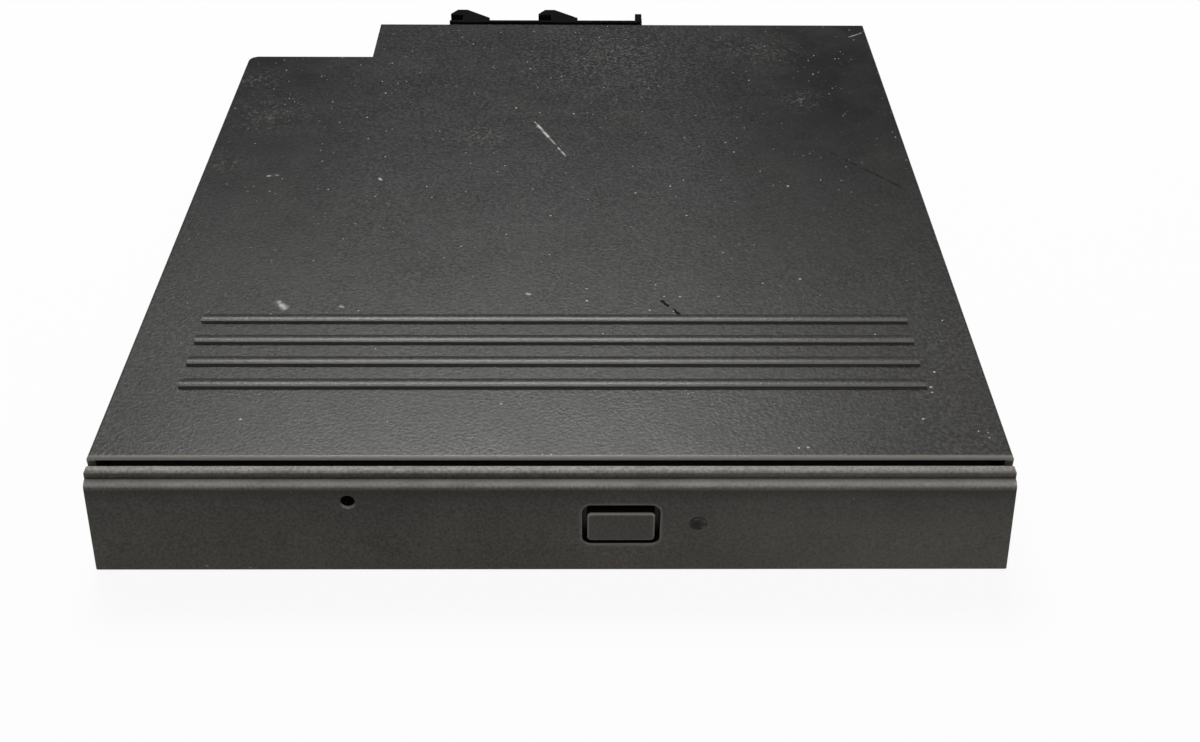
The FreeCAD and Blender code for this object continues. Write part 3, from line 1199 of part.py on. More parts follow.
def make_pickup():
    """Cast pickup body on two rods, with an open tower for the lens."""
    half = ROD_V - bush_half
    body = box(sled_u0, sled_u1, -half, half, sled_underside, sled_top)
    solids = [body]
    for v in (-ROD_V, ROD_V):
        solids.append(box(sled_u0, sled_u1, v - bush_half, v + bush_half, rod_height - bush_half,
                          rod_height + bush_half))
    tower = box(LENS_HOME_U - TOWER_HALF_LENGTH, LENS_HOME_U + TOWER_HALF_LENGTH, -TOWER_HALF_WIDTH,
                TOWER_HALF_WIDTH,
                sled_underside, tower_top)
    well = box(LENS_HOME_U - TOWER_HALF_LENGTH + TOWER_WALL, LENS_HOME_U + TOWER_HALF_LENGTH - TOWER_WALL,
               -TOWER_HALF_WIDTH + TOWER_WALL, TOWER_HALF_WIDTH - TOWER_WALL,
               holder_low - LENS_TRAVEL - TOWER_WALL, tower_top + OVERSHOOT)
    solids.append(tower)
    tools = [well]
    for v in (-ROD_V, ROD_V):
        tools.append(rod(sled_u0 - OVERSHOOT, v, rod_height, ROD_RADIUS + ROD_CLEARANCE,
                         sled_u1 - sled_u0 + 2 * OVERSHOOT, V(1, 0, 0)))
    return placed_mech(cut(fuse(solids), tools))


def make_lens_holder():
    """Moving lens frame, hung in the tower, with its round objective."""
    u = LENS_HOME_U
    frame = box(u - LENS_HOLDER_HALF_LENGTH, u + LENS_HOLDER_HALF_LENGTH, -LENS_HOLDER_HALF_WIDTH,
                LENS_HOLDER_HALF_WIDTH,
                holder_low, holder_top)
    bore = rod(u, 0, holder_low - OVERSHOOT, LENS_RADIUS, LENS_HOLDER_HEIGHT + 2 * OVERSHOOT)
    return placed_mech(frame.cut(bore))


def make_lens():
    """Objective lens: a disc with a domed top."""
    u = LENS_HOME_U
    body = rod(u, 0, holder_low, LENS_RADIUS, LENS_HOLDER_HEIGHT)
    ball_radius = (LENS_RADIUS ** 2 + LENS_CROWN ** 2) / (2 * LENS_CROWN)
    ball = Part.makeSphere(ball_radius, V(u, 0, holder_top + LENS_CROWN - ball_radius))
    dome = ball.common(rod(u, 0, holder_top, LENS_RADIUS, LENS_CROWN + OVERSHOOT))
    return placed_mech(body.fuse(dome).removeSplitter())


def make_rack():
    """Spring arm from the pickup to the lead screw's thread."""
    u0 = sled_u0
    v0 = -ROD_V - bush_half
    v1 = SCREW_V + LEAD_SCREW_RADIUS + RACK_GAP
    return placed_mech(box(u0, u0 + RACK_LENGTH, v1, v0, rod_height - LEAD_SCREW_RADIUS,
                           rod_height + LEAD_SCREW_RADIUS))


def make_feed_motor():
    """Flat-sided stepper motor on a bent bracket under the chassis."""
    u1 = FEED_MOTOR_FRONT_U
    u0 = u1 - FEED_MOTOR_LENGTH
    half = FEED_MOTOR_HALF_WIDTH
    z0 = rod_height - FEED_MOTOR_HEIGHT / 2
    z1 = rod_height + FEED_MOTOR_HEIGHT / 2
    can = rod(u0, SCREW_V, rod_height, half, FEED_MOTOR_LENGTH, V(1, 0, 0))
    can = can.common(box(u0, u1, SCREW_V - half, SCREW_V + half, z0, z1))
    plate = box(u1, u1 + FEED_BRACKET, SCREW_V - half, SCREW_V + half, z0, chassis_under)
    bore = rod(u0 + FEED_MOTOR_LENGTH / 2, SCREW_V, rod_height, LEAD_SCREW_RADIUS / 2 + ROD_CLEARANCE,
               FEED_MOTOR_LENGTH, V(1, 0, 0))
    return placed_mech(can.fuse(plate).removeSplitter().cut(bore))


def make_lead_screw():
    """Lead screw: threaded middle between two thinner journals."""
    start = FEED_MOTOR_FRONT_U + FEED_BRACKET + RAIL_CLEARANCE
    end = lead_screw_end_u - ROD_CLAMP_LENGTH - RAIL_CLEARANCE
    inner = FEED_MOTOR_FRONT_U - FEED_MOTOR_LENGTH / 2 + ROD_CLEARANCE
    journal = rod(inner, SCREW_V, rod_height, LEAD_SCREW_RADIUS / 2, lead_screw_end_u - inner, V(1, 0, 0))
    thread = rod(start, SCREW_V, rod_height, LEAD_SCREW_RADIUS, end - start, V(1, 0, 0))
    return placed_mech(journal.fuse(thread).removeSplitter())


flex_x = half_width - FLEX_SIDE_MARGIN
flex_low = FLOOR_PLATE + FLEX_THICKNESS
flex_high = TRAY_UNDERSIDE - 2 * FLEX_THICKNESS


def make_flex_socket():
    """Socket on the main board's front edge for the drawer's flat cable."""
    half = FLEX_WIDTH / 2 + FLEX_SOCKET_HEIGHT
    body = box(flex_x - half, flex_x + half, board_front, board_front + FLEX_SOCKET_DEPTH, board_top,
               board_top + FLEX_SOCKET_HEIGHT)
    return body


def make_flex_cable():
    """Flat cable from the main board's socket, folded back once under the drawer."""
    bend = board_front - FLEX_BEND_REACH
    radius = (flex_high - flex_low) / 2
    middle = (flex_high + flex_low) / 2
    t = FLEX_THICKNESS
    left = flex_x - FLEX_WIDTH / 2
    end = tray_rear - TRAY_WALL
    entry = board_top + FLEX_ENTRY
    foot = board_front - FLEX_RISE
    outline = [
        Part.makeLine(V(left, end, flex_high), V(left, bend, flex_high)),
        Part.Arc(V(left, bend, flex_high), V(left, bend - radius, middle),
                 V(left, bend, flex_low)).toShape(),
        Part.makeLine(V(left, bend, flex_low), V(left, foot, flex_low)),
        Part.makeLine(V(left, foot, flex_low), V(left, board_front, entry)),
        Part.makeLine(V(left, board_front, entry), V(left, board_front, entry + t)),
        Part.makeLine(V(left, board_front, entry + t), V(left, foot, flex_low + t)),
        Part.makeLine(V(left, foot, flex_low + t), V(left, bend, flex_low + t)),
        Part.Arc(V(left, bend, flex_low + t), V(left, bend - radius + t, middle),
                 V(left, bend, flex_high - t)).toShape(),
        Part.makeLine(V(left, bend, flex_high - t), V(left, end, flex_high - t)),
        Part.makeLine(V(left, end, flex_high - t), V(left, end, flex_high)),
    ]
    return Part.Face(Part.Wire(outline)).extrude(V(FLEX_WIDTH, 0, 0))


os.makedirs("parts", exist_ok=True)
save("lower_case", make_lower_case())
save("top_cover", make_top_cover())
save("case_screws", make_case_screws())
save("main_board", make_main_board())
save("board_screws", make_board_screws())
save("controller_chips", make_controller_chips())
save("flex_socket", make_flex_socket())
save("flex_cable", make_flex_cable())
save("rear_connector", make_connector())
save("connector_contacts", make_connector_contacts())
save("latch_post", make_latch_post())
for side_name, side_sign in (("left", -1), ("right", 1)):
    save(side_name + "_rail_guide", make_rail_guide(side_sign))
    save(side_name + "_slide_rail", make_slide_rail(side_sign))
save("tray", make_tray())
save("front_bezel", make_front_bezel())
save("eject_button", make_eject_button())
save("switch_plunger", make_switch_plunger())
save("eject_switch", make_eject_switch())
save("front_board", make_front_board())
save("lamp", make_lamp())
save("lamp_lens", make_lamp_lens())
save("latch_pin", make_latch_pin())
save("latch_lever", make_latch_lever())
save("latch_solenoid", make_solenoid())
save("deck_cover", make_deck_cover())
save("mech_chassis", make_mech_chassis())
save("dampers", make_dampers())
save("damper_screws", make_damper_screws())
save("motor_base", make_motor_base())
save("motor_stator", make_stator())
save("spindle_rotor", make_rotor())
save("rotor_pad", make_rotor_pad())
for claw_number in range(CLAW_COUNT):
    save("hub_claw_" + str(claw_number + 1), make_claw(claw_number))
save("main_guide_rod", make_guide_rod(ROD_V))
save("sub_guide_rod", make_guide_rod(-ROD_V))
save("pickup_body", make_pickup())
save("lens_holder", make_lens_holder())
save("objective_lens", make_lens())
save("pickup_rack", make_rack())
save("feed_motor", make_feed_motor())
save("lead_screw", make_lead_screw())
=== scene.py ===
import random
from math import cos, pi, radians, sin
import bmesh
import bpy
from mathutils import Matrix, Vector


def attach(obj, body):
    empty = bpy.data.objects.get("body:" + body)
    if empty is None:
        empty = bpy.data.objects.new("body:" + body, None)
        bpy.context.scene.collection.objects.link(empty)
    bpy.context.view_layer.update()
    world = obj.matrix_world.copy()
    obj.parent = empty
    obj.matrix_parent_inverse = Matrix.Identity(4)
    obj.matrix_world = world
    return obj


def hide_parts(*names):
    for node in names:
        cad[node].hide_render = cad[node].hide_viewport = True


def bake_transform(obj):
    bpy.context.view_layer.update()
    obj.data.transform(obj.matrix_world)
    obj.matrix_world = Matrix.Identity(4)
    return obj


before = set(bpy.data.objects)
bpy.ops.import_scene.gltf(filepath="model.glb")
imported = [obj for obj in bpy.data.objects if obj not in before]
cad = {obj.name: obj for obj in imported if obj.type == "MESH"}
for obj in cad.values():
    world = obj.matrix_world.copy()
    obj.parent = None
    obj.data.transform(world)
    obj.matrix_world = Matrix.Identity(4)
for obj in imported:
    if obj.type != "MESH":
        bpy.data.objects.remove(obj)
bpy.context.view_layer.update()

MM = 0.001

# The table is a sheet of white paper. A soft lamp hangs behind and above the drive, so that the
# cover shines towards its front edge, and a weaker one lights the bezel from the viewer's side.
scene = bpy.context.scene
scene.view_settings.view_transform = "Standard"


def feed(node, *parts, **named):
    """Sets a node's sockets, in order or by name, to values or to other nodes' outputs.

    An underscore in a name stands for a space.
    """
    pairs = [(node.inputs[number], value) for number, value in enumerate(parts)]
    pairs += [(node.inputs[name.replace("_", " ")], value) for name, value in named.items()]
    for socket, value in pairs:
        if isinstance(value, bpy.types.NodeSocket):
            node.id_data.links.new(value, socket)
        else:
            socket.default_value = value
    return node.outputs


def add(tree, kind, *parts, **named):
    """Places a shader node and gives its outputs; lower-case names are its settings, others its sockets."""
    made = tree.nodes.new("ShaderNode" + kind)
    for name in filter(str.islower, named):
        setattr(made, name, named[name])
    return feed(made, *parts, **{name: value for name, value in named.items() if not name.islower()})


def combine(tree, operation, a, b=0.0):
    """One arithmetic step on two values."""
    return add(tree, "Math", a, b, operation=operation)[0]


def tint_over(tree, factor, under, over, how="MIX"):
    """Lays one colour over another by a mask."""
    return add(tree, "Mix", data_type="RGBA", blend_type=how, Factor=factor, A=under, B=over)["Result"]


def new_material(name, **constants):
    """A node material with its tree and its Principled shader, whose sockets get the constants."""
    material = bpy.data.materials.new(name)
    material.use_nodes = True
    shader = material.node_tree.nodes["Principled BSDF"]
    feed(shader, **constants)
    return material, material.node_tree, shader


PAPER_SIZE = 6.0
PAPER_DROP = 0.2 * MM
PAPER_GLOW = 0.92
half = PAPER_SIZE / 2
paper_corners = [(-half, -half, 0), (half, -half, 0), (half, half, 0), (-half, half, 0)]
paper_mesh = bpy.data.meshes.new("paper")
paper_mesh.from_pydata(paper_corners, [], [(0, 1, 2, 3)])
paper = bpy.data.objects.new("paper", paper_mesh)
scene.collection.objects.link(paper)
paper.location.z = -PAPER_DROP
paper_finish, tree, shader = new_material("paper", Roughness=0.9)
fibre = add(tree, "TexNoise", Scale=9.0, Detail=3.0)["Fac"]
sheet_tone = tint_over(tree, fibre, (0.90, 0.895, 0.88, 1), (0.92, 0.92, 0.92, 1))
feed(shader, Base_Color=sheet_tone)
glow = add(tree, "Emission", Color=(1, 1, 1, 1), Strength=1.0)[0]
rays = add(tree, "LightPath")
seen = combine(tree, "MAXIMUM", rays["Is Camera Ray"], rays["Is Glossy Ray"])
seen = combine(tree, "MAXIMUM", seen, rays["Is Transmission Ray"])
share = combine(tree, "MULTIPLY", seen, PAPER_GLOW)
sheet = add(tree, "MixShader", share, shader.outputs[0], glow)[0]
feed(tree.nodes["Material Output"], Surface=sheet)
paper_mesh.materials.append(paper_finish)

world = bpy.data.worlds.new("room")
scene.world = world
world.use_nodes = True
feed(world.node_tree.nodes["Background"], Color=(0.97, 0.98, 1.0, 1), Strength=0.12)


def soft_lamp(name, place, size, power):
    """A rectangular soft lamp that faces the drive."""
    light = bpy.data.lights.new(name, "AREA")
    light.shape = "RECTANGLE"
    light.size, light.size_y = size
    light.energy = power
    lamp_object = bpy.data.objects.new(name, light)
    lamp_object.location = place
    lamp_object.rotation_euler = (-Vector(place)).to_track_quat("-Z", "Y").to_euler()
    scene.collection.objects.link(lamp_object)


soft_lamp("rear_lamp", place=(-0.08, 0.585, 0.91), size=(0.5, 0.4), power=9.0)
soft_lamp("front_lamp", place=(0.2, -1.0, 1.1), size=(1.1, 1.1), power=7.0)

# The camera stands about 15 cm in front of the bezel and as high above the paper, and looks down on
# the cover. Its place, turn and field of view come from the cover's edges and ribs in the photograph.
PHOTO_WIDTH = 1200
FOCAL_PIXELS = 1483.9
SENSOR_WIDTH = 36.0
CAMERA_PLACE = Vector((0.0047, -0.2313, 0.1543))
CAMERA_YAW = radians(0.72)
CAMERA_PITCH = radians(37.45)
CAMERA_ROLL = radians(0.46)
camera_data = bpy.data.cameras.new("camera")
camera_data.sensor_fit = "HORIZONTAL"
camera_data.sensor_width = SENSOR_WIDTH
camera_data.lens = FOCAL_PIXELS / PHOTO_WIDTH * SENSOR_WIDTH
camera_data.clip_start = 5 * MM
camera = bpy.data.objects.new("camera", camera_data)
turn = Matrix.Rotation(-CAMERA_YAW, 4, "Z") @ Matrix.Rotation(pi / 2 - CAMERA_PITCH, 4, "X")
turn = turn @ Matrix.Rotation(CAMERA_ROLL, 4, "Z")
camera.matrix_world = Matrix.Translation(CAMERA_PLACE) @ turn
scene.collection.objects.link(camera)
scene.camera = camera

# Lower case: the tub is one moulding in dark grey plastic with a fine spark-eroded grain.
# The cover's tongues snap into slots in its walls, and two screws go up through its floor.


def start_group(name, inputs, outputs):
    """A shader node group with named sockets; gives its tree, what it is given and its output node."""
    tree = bpy.data.node_groups.new(name, "ShaderNodeTree")
    for label, value in inputs.items():
        kind = "NodeSocketVector" if isinstance(value, tuple) else "NodeSocketFloat"
        tree.interface.new_socket(label, in_out="INPUT", socket_type=kind).default_value = value
    for label in outputs:
        tree.interface.new_socket(label, in_out="OUTPUT", socket_type="NodeSocketFloat")
    return tree, tree.nodes.new("NodeGroupInput").outputs, tree.nodes.new("NodeGroupOutput")


def object_place(tree):
    return add(tree, "TexCoord")["Object"]


def axes_of(tree, vector):
    return add(tree, "SeparateXYZ", vector)


def flat_normal(tree):
    return add(tree, "NewGeometry")["Normal"]


def noise(tree, scale, detail, rough=0.5, place=None):
    """Soft noise from 0 to 1, in the object's own frame unless another place is given."""
    place = place or object_place(tree)
    return add(tree, "TexNoise", Vector=place, Scale=scale, Detail=detail, Roughness=rough)["Fac"]


def remap(tree, value, start, end, low=0.0, high=1.0, how="LINEAR"):
    """Goes from low to high while a value goes from start to end, and holds there."""
    return add(tree, "MapRange", value, start, end, low, high, interpolation_type=how)["Result"]


def times(tree, a, b):
    return combine(tree, "MULTIPLY", a, b)


def vector_step(tree, operation, *parts, **named):
    """One step of vector arithmetic."""
    give = "Value" if operation in ("DISTANCE", "DOT_PRODUCT", "LENGTH") else "Vector"
    return add(tree, "VectorMath", *parts, operation=operation, **named)[give]


def relief(tree, height, strength, depth, **smoothed):
    """A normal that shows a fine height on the skin."""
    return add(tree, "Bump", Height=height, Strength=strength, Distance=depth, **smoothed)["Normal"]


# Grain of a moulded skin: fine pimples, and slow clouds where tone and gloss differ.
tree, given, out = start_group("moulded_grain", {"Grain Scale": 3000.0, "Cloud Scale": 40.0},
                               ["Height", "Cloud"])
pimples = noise(tree, given["Grain Scale"], 2.0)
clouds = noise(tree, given["Cloud Scale"], 7.0, rough=0.72)
feed(out, Height=pimples, Cloud=clouds)
grain_group = tree

# Dust: tiny pale specks, each of its own size and strength, fewer where the skin is steep.
SPECK_WANDER = 0.2 * MM
tree, given, out = start_group("settled_dust", {"Cells": 800.0, "Share": 0.5, "Size": 0.18}, ["Mask"])
place = object_place(tree)
stray = add(tree, "TexNoise", Vector=place, Scale=4000.0, Detail=1.0)["Color"]
ragged = vector_step(tree, "MULTIPLY_ADD", stray, (SPECK_WANDER,) * 3, place)
cells = add(tree, "TexVoronoi", Vector=ragged, Scale=given["Cells"])
luck = add(tree, "SeparateColor", cells["Color"])
chosen = combine(tree, "GREATER_THAN", given["Share"], luck["Red"])
radius = times(tree, luck["Green"], given["Size"])
near = combine(tree, "GREATER_THAN", radius, cells["Distance"])
up = axes_of(tree, flat_normal(tree))["Z"]
near = times(tree, near, remap(tree, up, 0.1, 0.7, 0.25, 1.0))
strength = times(tree, near, luck["Blue"])
feed(out, Mask=times(tree, strength, chosen))
dust_group = tree

# Rub: an edge that hands and the bay have polished pale, broken up along its length. On the rear plug's
# horns the same pale edges are painted glints.
tree, given, out = start_group("rubbed_edge", {"Radius": 0.4 * MM, "Break Scale": 250.0, "Reach": 4.0},
                               ["Mask"])
soft = add(tree, "Bevel", samples=6, Radius=given["Radius"])["Normal"]
agree = vector_step(tree, "DOT_PRODUCT", flat_normal(tree), soft)
bent = combine(tree, "SUBTRACT", 1.0, agree)
worn = remap(tree, noise(tree, given["Break Scale"], 3.0), 0.42, 0.62)
edge = times(tree, times(tree, bent, given["Reach"]), worn)
feed(out, Mask=combine(tree, "MINIMUM", edge, 1.0))
rub_group = tree

# Film: the grey bloom that lies on faces which look up, thicker in some places than others. At a strong
# share, as on the bezel, the same pale layer is a painted highlight of the light from above.
tree, given, out = start_group("lying_film", {"Patch Scale": 120.0, "Lowest": 0.12, "Highest": 0.6},
                               ["Mask"])
up = axes_of(tree, flat_normal(tree))["Z"]
facing = remap(tree, up, given["Lowest"], given["Highest"])
uneven = remap(tree, noise(tree, given["Patch Scale"], 4.0), 0.25, 0.75, 0.55, 1.0)
feed(out, Mask=times(tree, facing, uneven))
film_group = tree

# Crevice: narrow gaps and inner corners, where little light reaches. They get painted shade, and the film is
# kept out of them.
tree, given, out = start_group("painted_crevice_shade", {"Reach": 1.5 * MM}, ["Mask", "Open"])
open_sky = add(tree, "AmbientOcclusion", samples=8, Distance=given["Reach"])["AO"]
shut = remap(tree, open_sky, 0.6, 0.35)
clear = remap(tree, open_sky, 0.55, 0.75)
feed(out, Mask=shut, Open=clear)
crevice_shade_group = tree


def place_group(tree, group, **inputs):
    return add(tree, "Group", node_tree=group, **inputs)


def shade(colour, factor):
    return tuple(min(1.0, c * factor) for c in colour[:3]) + (1,)


FILM_AND_HIGHLIGHT_COLOUR = (0.33, 0.31, 0.28, 1)
DUST_AND_HIGHLIGHT_COLOUR = (0.58, 0.57, 0.54, 1)
GLOSS_SPREAD = 0.09
EDGE_ROUND = 0.12 * MM


def moulded_skin(name, colour, rough, shine=0.3, grain=3000.0, depth=0.02, cloud=40.0, contrast=0.2,
                 speckle=0.35, film=0.0, dust=0.0, rub=0.0, crevice_shade=False):
    """Moulded plastic: grain, clouds in tone and gloss, a film that is also a painted highlight on faces
    that look up, dust, rubbed edges that also serve as painted glints, and painted shade in gaps.
    """
    material, tree, shader = new_material(name, Specular_IOR_Level=shine)
    skin = place_group(tree, grain_group, Grain_Scale=grain, Cloud_Scale=cloud)
    tone = tint_over(tree, skin["Cloud"], shade(colour, 1 - contrast), shade(colour, 1 + contrast))
    crisp = remap(tree, skin["Height"], 0.32, 0.68, 1 - speckle, 1 + speckle * 0.6)
    tone = vector_step(tree, "SCALE", tone, Scale=crisp)
    if crevice_shade:
        crevice = place_group(tree, crevice_shade_group)
    # Where it is strong, the film is a painted highlight on faces that look up.
    if film:
        bloom = times(tree, place_group(tree, film_group)["Mask"], film)
        if crevice_shade:
            bloom = times(tree, bloom, crevice["Open"])
        tone = tint_over(tree, times(tree, bloom, crisp), tone, FILM_AND_HIGHLIGHT_COLOUR)
    if rub:
        tone = tint_over(tree, place_group(tree, rub_group, Reach=rub)["Mask"], tone, shade(colour, 5.0))
    if dust:
        tone = tint_over(tree, place_group(tree, dust_group, Share=dust)["Mask"], tone, DUST_AND_HIGHLIGHT_COLOUR)
    # Painted shade: crevices are darkened to a tenth of the colour.
    if crevice_shade:
        tone = tint_over(tree, crevice["Mask"], tone, shade(colour, 0.1))
    sheen = add(tree, "Mix", Factor=0.5, A=skin["Cloud"], B=skin["Height"])["Result"]
    gloss = remap(tree, sheen, 0.35, 0.65, rough + GLOSS_SPREAD, rough - GLOSS_SPREAD)
    soft = add(tree, "Bevel", samples=4, Radius=EDGE_ROUND)["Normal"]
    bumps = relief(tree, skin["Height"], 0.5, depth * MM, Normal=soft)
    feed(shader, Base_Color=tone, Roughness=gloss, Normal=bumps)
    return material, tree, shader, tone


def moulded_plastic(name, colour, rough, **looks):
    return moulded_skin(name, colour, rough, **looks)[0]


def dress(names, material):
    """Gives one CAD node, or several named with spaces between, their finish."""
    for name in names.split():
        cad[name].data.materials.clear()
        cad[name].data.materials.append(material)


dress("lower_case", moulded_plastic("case_plastic", (0.034, 0.034, 0.035), 0.5,
                                    film=0.05, dust=0.08, rub=2.0))

# Case screws: zinc-plated pan-head screws with a cross recess, driven up through the floor of
# the tub into the cover's posts, so only their heads show, in counterbores underneath.


def plated_steel(name, colour, rough, streak=(1.0, 1.0, 1.0), scale=900.0, contrast=0.12, coat=0.0):
    """Bare or plated metal: fine streaks in tone and gloss along the way it was worked."""
    material, tree, shader = new_material(name, Metallic=1.0, Coat_Weight=coat)
    along = add(tree, "Mapping", Vector=object_place(tree), Scale=streak)["Vector"]
    lines = noise(tree, scale, 4.0, place=along)
    clouds = noise(tree, 90.0, 4.0)
    tone = tint_over(tree, lines, shade(colour, 1 - contrast), shade(colour, 1 + contrast))
    tone = tint_over(tree, times(tree, clouds, 0.3), tone, shade(colour, 0.75))
    gloss = remap(tree, clouds, 0.3, 0.7, rough - 0.07, rough + 0.08)
    streaks = relief(tree, lines, 0.25, 0.01 * MM)
    feed(shader, Base_Color=tone, Roughness=gloss, Normal=streaks)
    return material


def stack_rings(mesh, rings, place=Matrix.Identity(4), endless=False):
    """Joins rings of points into one closed skin, each end capped unless the last meets the first."""
    loops = [[mesh.verts.new(place @ point) for point in ring] for ring in rings]
    pairs = list(zip(loops, loops[1:])) + ([(loops[-1], loops[0])] if endless else [])
    for low, high in pairs:
        for i in range(len(low)):
            j = (i + 1) % len(low)
            mesh.faces.new((low[i], low[j], high[j], high[i]))
    if not endless:
        mesh.faces.new(list(reversed(loops[0])))
        mesh.faces.new(loops[-1])


SCREW_SIDES = 32


def round_angles(count):
    return [2 * pi * i / count for i in range(count)]


def round_ring(radius, height, sides=SCREW_SIDES):
    return [Vector((radius * cos(a), radius * sin(a), height)) for a in round_angles(sides)]


def cross_ring(arm, half_width, height):
    """The outline of a cross recess, met by the same rays as a round ring."""
    points = []
    for angle in round_angles(SCREW_SIDES):
        c, s = max(abs(cos(angle)), 1e-6), max(abs(sin(angle)), 1e-6)
        reach = max(min(arm / c, half_width / s), min(arm / s, half_width / c))
        points.append(Vector((reach * cos(angle), reach * sin(angle), height)))
    return points


# Shares of the head's radius and height, from its seat to the rim of the recess, and then the
# recess itself: its arms' reach, their half width and its depth, at the top and at the floor.
HEAD_PROFILE = ((0.96, 1.0), (1.0, 0.9), (1.0, 0.5), (0.95, 0.22), (0.82, 0.04), (0.7, 0.0))
RECESS_PROFILE = ((0.58, 0.15, 0.0), (0.42, 0.11, 0.7))
POINT_SHARE = 0.6


def screw(mesh, place, form):
    """One pan-head screw whose head faces along +Z of its own frame, top at the origin."""
    head_radius, head_height, shank_radius, length = (measure * MM for measure in form)
    point = shank_radius * POINT_SHARE
    rings = [round_ring(point, -length), round_ring(shank_radius, -length + point)]
    rings += [round_ring(shank_radius, -head_height)]
    rings += [round_ring(head_radius * wide, -head_height * deep) for wide, deep in HEAD_PROFILE]
    for arm, half_width, deep in RECESS_PROFILE:
        rings.append(cross_ring(head_radius * arm, head_radius * half_width, -head_height * deep))
    stack_rings(mesh, rings, place)


def new_piece(name, mesh, slot, *materials, body=None, smooth=35):
    """Turns a bmesh into a piece with its finish and, where given, the body it rides on; the slot is not
    used.
    """
    data = bpy.data.meshes.new(name)
    bmesh.ops.recalc_face_normals(mesh, faces=mesh.faces)
    mesh.to_mesh(data)
    mesh.free()
    data.polygons.foreach_set("use_smooth", [True] * len(data.polygons))
    data.set_sharp_from_angle(angle=radians(smooth))
    for material in materials:
        data.materials.append(material)
    piece = bpy.data.objects.new(name, data)
    scene.collection.objects.link(piece)
    if body:
        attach(piece, body)
    return piece


def at(x, y, z):
    return Matrix.Translation(Vector((x, y, z)) * MM)


UPSIDE_DOWN = Matrix.Rotation(pi, 4, "X")
# Each screw's form is (head radius, head height, shank radius, length) in millimetres.
CASE_SCREW = (1.9, 0.8, 1.0, 10.9)
CASE_SCREW_XS, CASE_SCREW_Y, CASE_SCREW_Z = (56.0, -30.6), 60.9, 0.1
screw_finish = plated_steel("screw_steel", (0.50, 0.50, 0.51), 0.34)
mesh = bmesh.new()
for x in CASE_SCREW_XS:
    screw(mesh, at(x, CASE_SCREW_Y, CASE_SCREW_Z) @ UPSIDE_DOWN, CASE_SCREW)
piece = new_piece("case_screws_cut", mesh, "screw_steel", screw_finish, body="case")
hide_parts("case_screws")

# Main board: green laminate with tinned pads, held on four posts by small screws. Its chips,
# their bent legs and the small parts between them are soldered to the top face.
TRACKS_PER_METRE = 1300.0
TRACK_SHARE = 0.45
MASK_GREEN, TRACK_GREEN = (0.008, 0.075, 0.035, 1), (0.018, 0.14, 0.06, 1)
VIA_TIN = (0.36, 0.35, 0.30, 1)
board_finish, tree, shader = new_material("circuit_board", Roughness=0.35)
place = object_place(tree)
patch = add(tree, "TexVoronoi", distance="CHEBYCHEV", Vector=place, Scale=130.0)["Color"]
pick = add(tree, "SeparateColor", patch)["Red"]
axes = axes_of(tree, place)


def lanes(axis):
    """Stripes side by side along one axis, one for each track."""
    lane = combine(tree, "FRACT", times(tree, axes[axis], TRACKS_PER_METRE))
    return combine(tree, "LESS_THAN", lane, TRACK_SHARE)


run_x = times(tree, lanes("X"), combine(tree, "LESS_THAN", pick, 0.38))
run_y = times(tree, lanes("Y"), combine(tree, "GREATER_THAN", pick, 0.62))
tracks = combine(tree, "MAXIMUM", run_x, run_y)
tone = tint_over(tree, tracks, MASK_GREEN, TRACK_GREEN)
vias = place_group(tree, dust_group, Cells=560.0, Share=0.5, Size=0.22)["Mask"]
holes = combine(tree, "GREATER_THAN", vias, 0.15)
tone = tint_over(tree, holes, tone, VIA_TIN)
ridges = relief(tree, tracks, 0.4, 0.03 * MM)
feed(shader, Base_Color=tone, Metallic=holes, Normal=ridges)
dress("main_board", board_finish)

BOARD_TOP = 2.8
BOARD_SCREW = (1.7, 0.6, 0.8, 2.4)
BOARD_SCREW_XS, BOARD_SCREW_YS, BOARD_SCREW_Z = (-59.6, 59.6), (21.1, 48.5), 3.4
mesh = bmesh.new()
for x in BOARD_SCREW_XS:
    for y in BOARD_SCREW_YS:
        screw(mesh, at(x, y, BOARD_SCREW_Z), BOARD_SCREW)
piece = new_piece("board_screws_cut", mesh, "screw_steel", screw_finish, body="case")
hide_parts("board_screws")

chip_finish = moulded_plastic("chip_black", (0.022, 0.022, 0.023), 0.5, grain=5000.0, contrast=0.1)
dress("controller_chips", chip_finish)


def brick(mesh, low, high, place=Matrix.Identity(4), soft=0.0, slot=0):
    """A block between two corners in millimetres, its edges broken where soft is given."""
    size = Vector(high) - Vector(low)
    middle = (Vector(high) + Vector(low)) / 2
    stretch = place @ Matrix.Translation(middle * MM) @ Matrix.Diagonal((*(size * MM), 1))
    made = bmesh.ops.create_cube(mesh, size=1.0, matrix=stretch)["verts"]
    faces = {f for v in made for f in v.link_faces}
    if soft:
        edges = list({e for v in made for e in v.link_edges})
        cut = bmesh.ops.bevel(mesh, geom=edges, offset=soft * MM, segments=2, affect="EDGES", profile=0.6)
        faces = {f for f in faces if f.is_valid} | set(cut["faces"])
    for face in faces:
        face.material_index = slot


